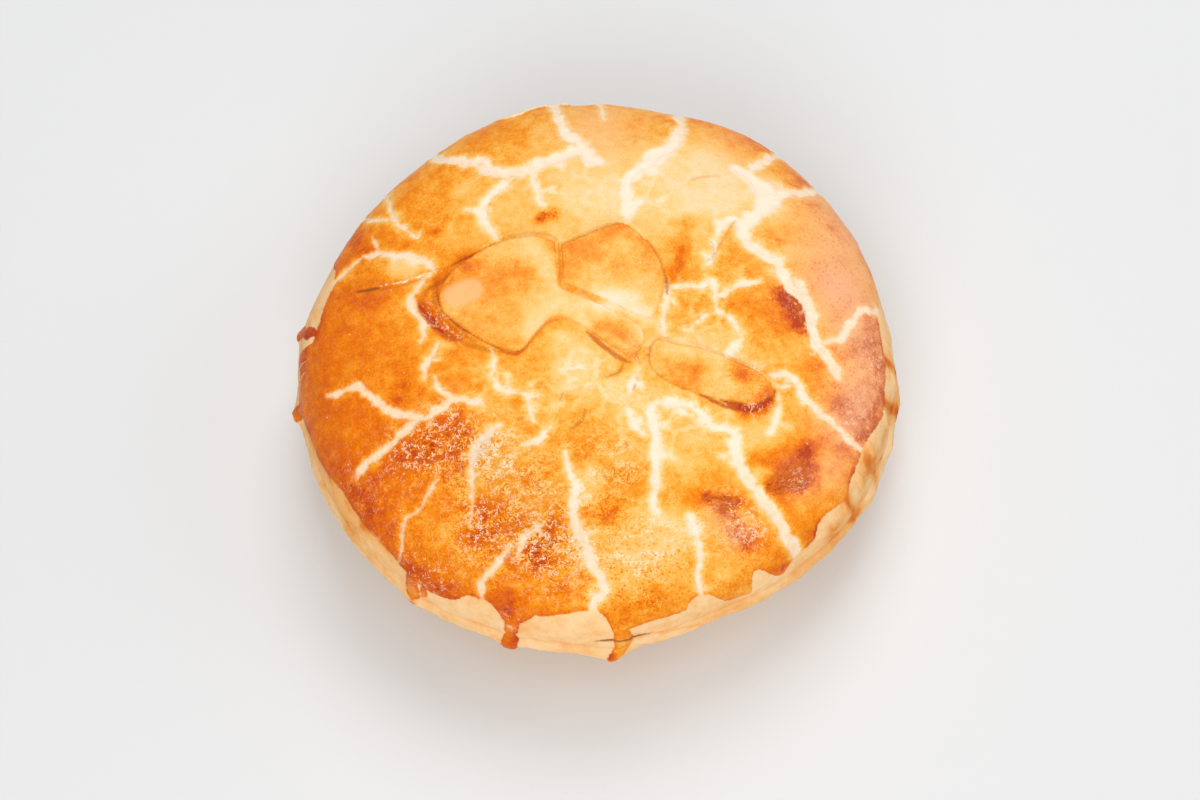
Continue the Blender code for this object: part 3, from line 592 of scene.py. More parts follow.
def through(points, steps, closed):
    """Points of a smooth curve through the given ones, with a number of steps between two of them."""
    count = len(points)
    curve = []
    for index in range(count if closed else count - 1):
        if points[index] == points[(index + 1) % count]:
            continue
        near = [index - 1, index, index + 1, index + 2]
        near = [i % count if closed else min(max(i, 0), count - 1) for i in near]
        corners = [Vector(points[i]) for i in near]
        curve += [on_curve(*corners, step / steps) for step in range(steps)]
    if not closed:
        curve.append(Vector(points[-1]))
    return curve


def camera_axes():
    """Right, up and back directions of the camera that took the pie."""
    back = Vector((0.0, -math.cos(VIEW_ELEVATION), math.sin(VIEW_ELEVATION)))
    right = Vector((0.0, 0.0, 1.0)).cross(back).normalized()
    up = back.cross(right)
    turned_right = math.cos(VIEW_ROLL) * right + math.sin(VIEW_ROLL) * up
    turned_up = math.cos(VIEW_ROLL) * up - math.sin(VIEW_ROLL) * right
    return turned_right, turned_up, back


def sight(pixel):
    """Where the line of sight through a pixel starts, and its direction."""
    right, up, back = camera_axes()
    across = (pixel[0] - PICTURE_WIDTH / 2) / LENS_PIXELS
    down = (pixel[1] - PICTURE_HEIGHT / 2) / LENS_PIXELS
    return VIEW_TARGET + back * VIEW_DISTANCE, (right * across - up * down - back).normalized()


def lengths_along(line):
    """How far along a flat line each of its points lies."""
    return np.concatenate(([0.0], np.cumsum(np.hypot(*np.diff(line, axis=0).T))))


def evenly(line, count, endpoint=True):
    """A number of evenly spaced points along a flat line, with or without its end."""
    along = lengths_along(line)
    even = np.linspace(0.0, along[-1], count, endpoint=endpoint)
    return np.column_stack((np.interp(even, along, line[:, 0]), np.interp(even, along, line[:, 1])))


def dome_section(dome_radius, rise, foot, rings):
    """Radius and height of evenly spaced rings from a dome's top centre to its foot."""
    turn = np.linspace(0.0, math.pi / 2, DOME_SAMPLES)
    radius = dome_radius * np.sin(turn) ** (2.0 / TOP_POWER)
    height = foot + rise * np.cos(turn) ** (2.0 / SHOULDER_POWER)
    return evenly(np.column_stack((radius, height)), rings + 1)


def smooth_section(points, pitch):
    """Radius and height of evenly spaced rings along a smooth line through the given ones."""
    line = np.array([tuple(point) for point in through(points, steps=12, closed=False)])
    return evenly(line, int(lengths_along(line)[-1] / pitch) + 1)


def ring_surface(section):
    """Points and triangles of rings given as radius, height and number of points, from top centre to bottom."""
    points, faces, starts = [], [], []
    for radius, height, count in section:
        starts.append(len(points))
        for step in range(count):
            angle = math.tau * step / count
            points.append((radius * math.cos(angle), radius * math.sin(angle), height))
    for ring in range(len(section) - 1):
        near, far = section[ring][2], section[ring + 1][2]
        near_start, far_start = starts[ring], starts[ring + 1]
        # Walk round both rings at once, and step on along the one that lags
        i = j = 0
        while (i < near and near > 1) or (j < far and far > 1):
            near_point = near_start + i % near
            far_point = far_start + j % far
            if far > 1 and j < far and (near == 1 or i == near or j * near <= i * far):
                j += 1
                faces.append((near_point, far_point, far_start + j % far))
            else:
                i += 1
                faces.append((near_point, far_point, near_start + i % near))
    return np.array(points), faces


@functools.cache
def smooth_crust():
    """Points and triangles of the lid before its relief, and how many of the points lie on its outside."""
    outside = dome_section(LID_RADIUS, LID_RISE, SEAM_HEIGHT, CRUST_RINGS)
    section = [(radius, height, max(1, CRUST_STEP * ring)) for ring, (radius, height) in enumerate(outside)]
    outside_count = sum(count for _, _, count in section)
    full = section[-1][2]
    section.append((LID_RADIUS - 0.8 * MM, SEAM_HEIGHT - LID_FOOT, full))
    section.append((LID_RADIUS - LID_THICKNESS, SEAM_HEIGHT - LID_FOOT, full // 4))
    inside = dome_section(LID_RADIUS - LID_THICKNESS, LID_RISE - LID_THICKNESS, SEAM_HEIGHT, HIDDEN_RINGS)
    for ring in range(HIDDEN_RINGS - 1, -1, -1):
        section.append((*inside[ring], max(1, HIDDEN_STEP * ring)))
    points, faces = ring_surface(section)
    return uneven(points), faces, outside_count


@functools.cache
def smooth_case():
    """Points and triangles of the case, with its filling under the lid, before its relief."""
    ledge = SEAM_HEIGHT - GAP
    filling = dome_section(LID_RADIUS - LID_THICKNESS - GAP, LID_RISE - LID_THICKNESS, ledge, HIDDEN_RINGS)
    section = [(radius, height, max(1, HIDDEN_STEP * ring)) for ring, (radius, height) in enumerate(filling)]
    wall = smooth_section(
        (
            (LID_RADIUS - 2.0 * MM, ledge), (RIM_RADIUS - 1.8 * MM, ledge - 0.1 * MM),
            (RIM_RADIUS - 0.5 * MM, ledge - 1.8 * MM), (RIM_RADIUS, RIM_HEIGHT),
            (RIM_RADIUS - 1.0 * MM, RIM_HEIGHT - 2.2 * MM), (RIM_RADIUS - 3.4 * MM, RIM_HEIGHT - 4.6 * MM),
            (BASE_RADIUS + 9.5 * MM, 13 * MM), (BASE_RADIUS + 3.0 * MM, 3 * MM),
            (BASE_RADIUS + 1.4 * MM, 0.8 * MM), (BASE_RADIUS - 0.6 * MM, 0.0),
        ),
        CASE_PITCH,
    )
    section += [(radius, height, CASE_SECTORS) for radius, height in wall]
    section += [(BASE_RADIUS * 0.75, 0.0, 120), (BASE_RADIUS * 0.4, 0.0, 60), (0.0, 0.0, 1)]
    points, faces = ring_surface(section)
    return uneven(points), faces


@functools.cache
def pie_tree():
    """The smooth lid and case, ready for lines of sight to be cast on them."""
    points, faces, _ = smooth_crust()
    case_points, case_faces = smooth_case()
    count = len(points)
    faces = faces + [tuple(corner + count for corner in face) for face in case_faces]
    return BVHTree.FromPolygons(points.tolist() + case_points.tolist(), faces)


def on_pie(pixel):
    """The place on the pie that a pixel shows. A pixel just beside the pie is moved in to its edge."""
    place = Vector(pixel)
    inward = (Vector(PIE_MIDDLE_PIXEL) - place).normalized()
    for _ in range(MOST_PIXEL_STEPS):
        hit = pie_tree().ray_cast(*sight(place))[0]
        if hit is not None:
            return hit
        place += inward * PIXEL_STEP
    raise RuntimeError(f"pixel {pixel} shows no pastry")


def height_at(x, y):
    """Height of the smooth crust above a place in plan."""
    return pie_tree().ray_cast(Vector((x, y, CLEAR_OF_PIE)), Vector((0.0, 0.0, -1.0)))[0].z


def further_down(place, drop):
    """The place on the pie's side that lies a drop below another."""
    outward = Vector((place.x - AXIS[0], place.y - AXIS[1], 0.0)).normalized()
    start = Vector((AXIS[0], AXIS[1], max(place.z - drop, 1 * MM))) + outward * CLEAR_OF_PIE
    return pie_tree().ray_cast(start, -outward)[0]


def drawn_line(route, width_mm, wander, chance, drop_mm=0.0):
    """Evenly spaced places along a route of pixels, each with the line's half width there."""
    line = [on_pie(pixel) for pixel in through(route, steps=4, closed=False)]
    # A route that starts beside the pie comes up its hidden side, and a run may drop on down its side at the end
    runs_off = pie_tree().ray_cast(*sight(route[0]))[0] is None
    runs_down = drop_mm > 0.0
    if runs_off:
        line = [further_down(line[0], step * 2 * MM) for step in (5, 4, 3, 2, 1)] + line
    if runs_down:
        line += [further_down(line[-1], step * drop_mm * MM / 4) for step in (1, 2, 3, 4)]
    along = np.concatenate(([0.0], np.cumsum([(b - a).length for a, b in zip(line, line[1:])])))
    total = along[-1]
    phase = chance.uniform(0.0, 90.0)
    samples = []
    for distance in np.arange(0.0, total + LINE_PITCH / 2, LINE_PITCH):
        place = Vector([np.interp(distance, along, [point[axis] for point in line]) for axis in range(3)])
        to_end = min(total if runs_off else distance, total if runs_down else total - distance)
        taper = min(1.0, 0.25 + (to_end + LINE_PITCH) / LINE_TAPER)
        pace = distance / (3.2 * MM) + phase
        shake = Vector((noise.noise((pace, 0.0, 1.0)), noise.noise((pace, 5.0, 2.0)), 0.0)) * 3.0 * wander
        shake += Vector((chance.uniform(-1, 1), chance.uniform(-1, 1), 0.0)) * 0.25 * wander
        swell = 0.95 + 0.5 * noise.noise((pace * 0.6, 9.0, 3.0)) + chance.uniform(-0.08, 0.08)
        samples.append((place + shake, 0.5 * width_mm * MM * taper * max(0.5, swell)))
    return samples


def spurs(line, chance):
    """Short side splits that leave a long one every centimetre or so."""
    branches = []
    index = chance.randint(8, 22)
    while index < len(line) - 8:
        place, half_width = line[index]
        ahead = (line[index + 3][0] - line[index - 3][0]).normalized()
        side = Vector((-ahead.y, ahead.x, ahead.z)) * chance.choice((-1, 1))
        heading = (side + ahead * chance.uniform(-0.8, 0.8)).normalized()
        length = chance.uniform(2.0, 5.0) * MM + half_width
        steps = int(length / LINE_PITCH)
        branch = []
        for step in range(steps):
            share = step / steps
            bend = ahead * chance.uniform(-0.2, 0.2) * MM
            branch.append((place + heading * length * share + bend, 0.40 * half_width * (1.0 - share) + 0.10 * MM))
        branches.append(branch)
        index += chance.randint(25, 70)
    return branches


@functools.cache
def drawn_lines():
    """Every line on the pastry, as places with half widths: splits, runs, pooled and painted shade lines, ridges,
    slits.
    """
    chance = random.Random(7)
    splits = [drawn_line(route, width, 0.25 * MM, chance) for width, route in SPLITS]
    splits += [branch for line in splits for branch in spurs(line, chance)]
    runs = [drawn_line(route, width, 0.15 * MM, chance, drop) for width, drop, route in GLAZE_RUNS]
    pools_and_shade = [(drawn_line(route, width, 0.1 * MM, chance), strength) for width, strength, route in POOLED_AND_SHADE_LINES]
    ridges = [(drawn_line(route, width, 0.15 * MM, chance), height) for width, height, route in RIDGES]
    slits = [(drawn_line(route, width, 0.1 * MM, chance), depth) for width, depth, route in SLITS]
    return splits, runs, pools_and_shade, ridges, slits


def tree_of(points):
    """A search tree of points."""
    tree = KDTree(len(points))
    for index, point in enumerate(points):
        tree.insert(point, index)
    tree.balance()
    return tree


def nearest_edge(tree, count, lines, reach):
    """Distance of each point from the edge of the nearest line, negative within it and reach at most."""
    away = [reach] * count
    for line in lines:
        for place, half_width in line:
            for _, index, distance in tree.find_range(place, half_width + reach):
                if distance - half_width < away[index]:
                    away[index] = distance - half_width
    return np.array(away)


def strongest(tree, count, marks, softness):
    """The strongest of several marks at each point, each a line with its strength and a soft border."""
    total = np.zeros(count)
    for line, strength in marks:
        away = nearest_edge(tree, count, [line], softness)
        total = np.maximum(total, strength * np.clip(1.0 - away / softness, 0.0, 1.0))
    return total


def rough(points, size, octaves=3, seed=0.0, stretch=(1.0, 1.0, 1.0)):
    """Fractal unevenness at each point, about -1 to 1, with lumps of the given size."""
    shift = Vector((seed, seed * 1.7, seed * 2.3))
    scaled = points * np.array(stretch) / size
    return np.array([noise.fractal(Vector(point) + shift, 1.0, 2.0, octaves) for point in scaled.tolist()])


def spread(points, place, reach):
    """How strongly an area round a pixel, or along a route of pixels, shows at each point."""
    route = [np.array(on_pie(pixel)) for pixel in (place if isinstance(place[0], tuple) else (place,))]
    distance = np.linalg.norm(points - route[0], axis=1)
    for start, end in zip(route, route[1:]):
        side = end - start
        share = np.clip((points - start) @ side / (side @ side), 0.0, 1.0)
        distance = np.minimum(distance, np.linalg.norm(points - start - share[:, None] * side, axis=1))
    return np.exp(-((distance / (reach * MM)) ** 2))


def zone_levels(points, zones, start, wander_reach=4 * MM):
    """A level at each point, from zones that are each mixed over the ones before."""
    wander = np.column_stack([rough(points, 14 * MM, 2, seed) for seed in (11.0, 23.0, 37.0)]) * wander_reach
    levels = np.full(len(points), float(start))
    for place, reach, level, strength in zones:
        share = strength * spread(points + wander, place, reach)
        levels = levels * (1.0 - share) + level * share
    return levels


def summed_areas(points, areas):
    """Strength at each point of areas that add up."""
    total = np.zeros(len(points))
    for place, reach, strength in areas:
        total += strength * spread(points, place, reach)
    return total


def glaze_edge_heights(angles):
    """Height of the glaze's lower edge at angles round the pie's axis."""
    shown = np.array([on_pie(pixel) for pixel in through(GLAZE_EDGE, steps=2, closed=False)]) - AXIS
    turns = np.arctan2(shown[:, 1], shown[:, 0]) % math.tau
    first, last = turns[0], turns[-1]
    hidden = np.linspace(last + HIDDEN_GLAZE_MARGIN, first - HIDDEN_GLAZE_MARGIN, HIDDEN_GLAZE_PLACES)
    swings = np.array([noise.noise(Vector((math.cos(turn) * 5, math.sin(turn) * 5, 3.0))) for turn in hidden])
    turns = np.concatenate((turns, hidden))
    heights = np.concatenate((shown[:, 2], HIDDEN_GLAZE_HEIGHT + HIDDEN_GLAZE_WAVES * swings))
    order = np.argsort(turns)
    return np.interp(angles % math.tau, turns[order], heights[order], period=math.tau)


def painted_values(points, tree):
    """The values painted on pastry, and the relief that its lines make."""
    count = len(points)
    splits, runs, pools_and_shade, ridges, slits = drawn_lines()
    away = nearest_edge(tree, count, splits, SPLIT_REACH)
    run = nearest_edge(tree, count, runs, RUN_REACH)
    pooled_and_shade = strongest(tree, count, pools_and_shade, MARK_SOFTNESS)
    ridge = strongest(tree, count, ridges, MARK_SOFTNESS)
    slit = strongest(tree, count, slits, SLIT_SOFTNESS)
    angles = np.arctan2(points[:, 1] - AXIS[1], points[:, 0] - AXIS[0])
    above_edge = np.maximum(points[:, 2] - glaze_edge_heights(angles), -run)
    grain = rough(points, GRAIN_SIZE, seed=5.0)
    ragged = away + grain * EDGE_RAGGEDNESS
    inside_split = np.clip(0.5 - ragged / SPLIT_SLOPE, 0.0, 1.0)
    inside_split *= inside_split * (3.0 - 2.0 * inside_split)
    lip = np.exp(-((ragged - LIP_PLACE) / LIP_WIDTH) ** 2) * (1.0 - inside_split)
    glazed = np.clip(0.5 + above_edge / GLAZE_SLOPE, 0.0, 1.0)
    sizes = bpy.context.scene.pie_sizes
    relief = grain * GRAIN_HEIGHT + (glazed - 1.0) * GLAZE_THICKNESS
    relief += (lip * sizes.split_lip - inside_split * sizes.split_depth) * glazed
    relief += np.clip(-run / RUN_SLOPE, 0.0, 1.0) * sizes.run_thickness
    relief += (ridge - SLIT_DEPTH * slit) * MM - pooled_and_shade * POOL_DEPTH
    # Among the painted values, the pale baked zones and the glints are painted highlight, the sheen haze is painted
    # sheen, and the pooled lines and slits hold painted shade
    values = {
        "baked": zone_levels(points, BAKE_AND_SHEEN_ZONES, BAKE_START),
        "wall": zone_levels(points, WALL_ZONES, WALL_START, 2 * MM),
        "sheen_haze": summed_areas(points, SHEEN_HAZE_AREAS),
        "away_from_split": away / MM,
        "above_edge": above_edge / MM,
        "toast": summed_areas(points, TOASTED_SPOTS),
        "glint": summed_areas(points, GLINT_AREAS),
        "dotted": summed_areas(points, DOTTED_AREAS),
        "crazed": summed_areas(points, CRAZED_AREAS),
        "bubbled": summed_areas(points, BUBBLED_AREAS),
        "pooled_and_shade": pooled_and_shade,
        "ridge": ridge,
        "slit": slit,
    }
    return values, relief


def mesh_piece(name, node, points, faces, material, values):
    """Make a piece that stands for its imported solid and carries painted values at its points."""
    mesh = bpy.data.meshes.new(name)
    mesh.from_pydata(points.tolist(), [], faces)
    for label, numbers in values.items():
        mesh.attributes.new(label, "FLOAT", "POINT").data.foreach_set("value", numbers)
    mesh.materials.append(material)
    mesh.shade_smooth()
    mesh.update()
    if mesh.validate():
        raise RuntimeError(f"the mesh of {name} has faulty faces")
    piece = bpy.data.objects.new(name, mesh)
    bpy.context.scene.collection.objects.link(piece)
    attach(piece, BODY)
    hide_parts(node)
    return piece


def point_normals(points, faces):
    """Directions out of a surface at its points."""
    corners = np.array(faces)
    a, b, c = (points[corners[:, index]] for index in range(3))
    flat = np.cross(b - a, c - a)
    total = np.zeros_like(points)
    for index in range(3):
        np.add.at(total, corners[:, index], flat)
    length = np.linalg.norm(total, axis=1, keepdims=True)
    return total / np.maximum(length, 1e-12)


def outline_of(name):
    """The closed outline of a cut-out in plan, with points less than a millimetre apart."""
    corners = [(x * MM, y * MM) for x, y in CUTOUT_OUTLINES_MM[name]]
    line = np.array([tuple(point) for point in through(corners, steps=10, closed=True)])
    line = np.vstack((line, line[:1]))
    return evenly(line, int(lengths_along(line)[-1] / CUTOUT_PITCH), endpoint=False) + AXIS[:2]


def outline_distance(points, reach):
    """Distance of each point of the crust from the nearest cut-out's outline, up to a reach."""
    lines = [(x, y, height_at(x, y)) for name in CUTOUT_OUTLINES_MM for x, y in outline_of(name)]
    tree = tree_of(lines)
    return np.array([min(reach, tree.find(point)[2]) for point in points])


def filled_outline(outline):
    """Points and triangles that fill an outline, and each point's distance from it."""
    low, high = outline.min(0), outline.max(0)
    tree = tree_of([(*point, 0.0) for point in outline])
    clear = []
    for row, y in enumerate(np.arange(low[1], high[1], CUTOUT_PITCH * 0.87)):
        for x in np.arange(low[0] + (row % 2) * CUTOUT_PITCH / 2, high[0], CUTOUT_PITCH):
            if tree.find((x, y, 0.0))[2] > CUTOUT_PITCH * 0.6:
                clear.append((x, y))
    loop = list(range(len(outline)))
    scaled = [Vector(point) / MM for point in outline.tolist() + clear]
    only_inside = 1
    flat, _, triangles, *_ = delaunay_2d_cdt(scaled, [], [loop], only_inside, 1e-6)
    flat = np.array([tuple(point) for point in flat]) * MM
    distance = np.array([tree.find((*point, 0.0))[2] for point in flat])
    return flat, [tuple(triangle) for triangle in triangles], distance


def side_faces(triangles, count):
    """Triangles that join the border of a sheet to its lower copy."""
    directed = {(a[i], a[(i + 1) % 3]) for a in triangles for i in range(3)}
    sides = []
    for start, end in sorted(directed):
        if (end, start) not in directed:
            sides.append((start, start + count, end))
            sides.append((end, start + count, end + count))
    return sides


def hang_panel(name, place, target, width, power, glossy):
    """A soft studio panel that looks at a place."""
    light = bpy.data.lights.new(name, "AREA")
    light.shape = "DISK"
    light.size = width
    light.energy = power
    lamp = bpy.data.objects.new(name, light)
    lamp.location = place
    lamp.rotation_euler = (Vector(place) - Vector(target)).to_track_quat("Z", "Y").to_euler()
    lamp.visible_glossy = glossy
    bpy.context.scene.collection.objects.link(lamp)


class Nodes:
    """Builds the node tree of one pastry material."""

    def __init__(self, name):
        self.material = bpy.data.materials.new(name)
        self.material.use_nodes = True
        self.tree = self.material.node_tree
        self.shader = self.tree.nodes["Principled BSDF"]
        self.place = self.tree.nodes.new("ShaderNodeTexCoord").outputs["Object"]

    def plug(self, socket, value):
        """Link a socket, or set its value."""
        if isinstance(value, bpy.types.NodeSocket):
            self.tree.links.new(value, socket)
        else:
            socket.default_value = (*value, 1.0) if socket.type == "RGBA" else value

    def painted(self, label):
        """A value painted on the mesh."""
        node = self.tree.nodes.new("ShaderNodeAttribute")
        node.attribute_name = label
        return node.outputs["Fac"]

    def math(self, operation, first, second=0.0, third=None):
        """A sum on one, two or three values."""
        node = self.tree.nodes.new("ShaderNodeMath")
        node.operation = operation
        self.plug(node.inputs[0], first)
        self.plug(node.inputs[1], second)
        if third is not None:
            self.plug(node.inputs[2], third)
        return node.outputs[0]

    def sway(self, value, grain, amount):
        """A value moved by a grain, by half the amount up and half down."""
        return self.math("MULTIPLY_ADD", grain, amount, self.math("SUBTRACT", value, amount / 2))

    def step(self, value, low, high):
        """0 where a value is under low and 1 where it is over high, or the reverse, softly between."""
        node = self.tree.nodes.new("ShaderNodeMapRange")
        node.interpolation_type = "SMOOTHSTEP"
        turned_round = low > high
        self.plug(node.inputs["Value"], value)
        node.inputs["From Min"].default_value = min(low, high)
        node.inputs["From Max"].default_value = max(low, high)
        node.inputs["To Min"].default_value = 1.0 if turned_round else 0.0
        node.inputs["To Max"].default_value = 0.0 if turned_round else 1.0
        return node.outputs["Result"]

    def grain(self, size, detail=3.0, roughness=0.55, distortion=0.0, place=None):
        """Cloudy noise from 0 to 1 with lumps of the given size in metres."""
        node = self.tree.nodes.new("ShaderNodeTexNoise")
        self.plug(node.inputs["Vector"], place or self.place)
        node.inputs["Scale"].default_value = 1.0 / size
        node.inputs["Detail"].default_value = detail
        node.inputs["Roughness"].default_value = roughness
        node.inputs["Distortion"].default_value = distortion
        return node.outputs["Fac"]

    def stretched(self, scales):
        """Places drawn out by a factor along each axis."""
        node = self.tree.nodes.new("ShaderNodeVectorMath")
        node.operation = "MULTIPLY"
        self.plug(node.inputs[0], self.place)
        node.inputs[1].default_value = scales
        return node.outputs[0]

    def cells(self, size, feature="F1", place=None):
        """Distance to the nearest cell's centre or edge, in cell sizes."""
        node = self.tree.nodes.new("ShaderNodeTexVoronoi")
        node.feature = feature
        self.plug(node.inputs["Vector"], place or self.place)
        node.inputs["Scale"].default_value = 1.0 / size
        return node.outputs["Distance"]

    def warped(self, size, reach):
        """Places shaken by noise of a size, by up to a reach in metres."""
        node = self.tree.nodes.new("ShaderNodeTexNoise")
        self.plug(node.inputs["Vector"], self.place)
        node.inputs["Scale"].default_value = 1.0 / size
        node.inputs["Detail"].default_value = 3.0
        shift = self.tree.nodes.new("ShaderNodeVectorMath")
        shift.operation = "SUBTRACT"
        self.plug(shift.inputs[0], node.outputs["Color"])
        shift.inputs[1].default_value = (0.5, 0.5, 0.5)
        scale = self.tree.nodes.new("ShaderNodeVectorMath")
        scale.operation = "SCALE"
        self.plug(scale.inputs[0], shift.outputs[0])
        scale.inputs["Scale"].default_value = 2.0 * reach
        total = self.tree.nodes.new("ShaderNodeVectorMath")
        total.operation = "ADD"
        self.plug(total.inputs[0], self.place)
        self.plug(total.inputs[1], scale.outputs[0])
        return total.outputs[0]

    def mix(self, share, first, second):
        """Mix two colours."""
        node = self.tree.nodes.new("ShaderNodeMix")
        node.data_type = "RGBA"
        self.plug(node.inputs[0], share)
        self.plug(node.inputs[6], first)
        self.plug(node.inputs[7], second)
        return node.outputs[2]

    def blend(self, share, first, second):
        """Mix two values."""
        node = self.tree.nodes.new("ShaderNodeMix")
        self.plug(node.inputs[0], share)
        self.plug(node.inputs[2], first)
        self.plug(node.inputs[3], second)
        return node.outputs[0]

    def bump(self, height, distance):
        """Small relief on the surface: a height from 0 to 1, and the distance in metres that 1 stands for."""
        node = self.tree.nodes.new("ShaderNodeBump")
        node.inputs["Distance"].default_value = distance
        self.plug(node.inputs["Height"], height)
        return node.outputs["Normal"]

    def done(self, colour, roughness, normal, specular):
        """Plug the finished values into the shader."""
        self.plug(self.shader.inputs["Base Color"], colour)
        self.plug(self.shader.inputs["Roughness"], roughness)
        self.plug(self.shader.inputs["Normal"], normal)
        self.shader.inputs["Specular IOR Level"].default_value = specular
        return self.material


def glaze_level(nodes, grains):
    """The glaze's baked level, paler where highlight is painted in, with its clouds, strands, dots and toasted
    spots.
    """
    fine, lumps, clouds, sparkle = grains
    baked = nodes.painted("baked")
    # Clouds and lumps of thicker and thinner glaze, livelier where it has baked further
    swing = nodes.math("MULTIPLY_ADD", clouds, 0.50, nodes.math("MULTIPLY_ADD", lumps, 0.44, -0.47))
    swing = nodes.math("MULTIPLY_ADD", nodes.math("SUBTRACT", sparkle, 0.5), 0.13, swing)
    liveliness = nodes.math("MULTIPLY_ADD", nodes.step(baked, 0.10, 0.60), 0.65, 0.35)
    level = nodes.math("MULTIPLY_ADD", swing, liveliness, baked)
    # Pale strands in long bands where it has bubbled, then fine dots, then toasted spots
    bands = nodes.grain(4.5 * MM, detail=3.0, distortion=0.6, place=nodes.stretched((0.45, 1.0, 1.0)))
    bubbled = nodes.math("MULTIPLY", nodes.painted("bubbled"), nodes.step(bands, 0.40, 0.56))
    strands = nodes.math("MULTIPLY_ADD", crinkles(nodes, 2.0 * MM, 0.085), -0.42, 0.05)
    level = nodes.math("MULTIPLY_ADD", strands, bubbled, level)
    dots = nodes.step(nodes.cells(1.4 * MM), 0.32, 0.20)
    level = nodes.math("MULTIPLY_ADD", nodes.math("MULTIPLY", dots, nodes.painted("dotted")), 0.24, level)
    burnt = nodes.step(nodes.math("MULTIPLY_ADD", lumps, 0.6, fine), 0.66, 0.98)
    burnt = nodes.math("MULTIPLY_ADD", burnt, 0.32, 0.22)
    return nodes.math("MULTIPLY_ADD", nodes.painted("toast"), burnt, level)


def crinkles(nodes, size, width):
    """1 along thin curved wrinkles of a size, 0 between them."""
    folded = nodes.grain(size, detail=2.0, roughness=0.6, distortion=1.2)
    return nodes.step(nodes.math("ABSOLUTE", nodes.math("SUBTRACT", folded, 0.5)), width, width * 0.3)


def glinting(nodes, glaze, colours):
    """The glaze with painted glints: the highlights of its small bubbles, painted pale into its colour."""
    broken = nodes.step(nodes.grain(2.2 * MM, detail=2.0, roughness=0.6), 0.47, 0.55)
    flecks = nodes.math("MULTIPLY", crinkles(nodes, 2.1 * MM, 0.055), broken)
    share = nodes.math("MULTIPLY", flecks, nodes.painted("glint"))
    # Scattered dots of painted glint
    glint_dots = nodes.math("MULTIPLY", nodes.step(nodes.cells(4.5 * MM), 0.08, 0.05), 0.5)
    return nodes.mix(nodes.math("MINIMUM", nodes.math("ADD", share, glint_dots), 0.85), glaze, colours.glint)


def with_syrup_and_shade(nodes, glaze, fine, colours):
    """The glaze with the brown marks where it has pooled, and painted shade along raised edges."""
    pooled_and_shade = nodes.painted("pooled_and_shade")
    share = nodes.math("MULTIPLY", pooled_and_shade, nodes.step(fine, 0.05, 0.60))
    syrup_and_shade = nodes.mix(nodes.step(pooled_and_shade, 0.85, 1.35), colours.syrup_and_shade, colours.chestnut)
    return nodes.mix(nodes.math("MINIMUM", share, 0.85), glaze, syrup_and_shade)


def grains_of(nodes):
    """Noise of four sizes that the pastry's colour and relief share."""
    return (
        nodes.grain(0.9 * MM, detail=4.0, roughness=0.65),
        nodes.grain(3.2 * MM, detail=3.0),
        nodes.grain(9.0 * MM, detail=3.0),
        nodes.step(nodes.grain(0.75 * MM, detail=3.0, roughness=0.7), 0.36, 0.64),
    )


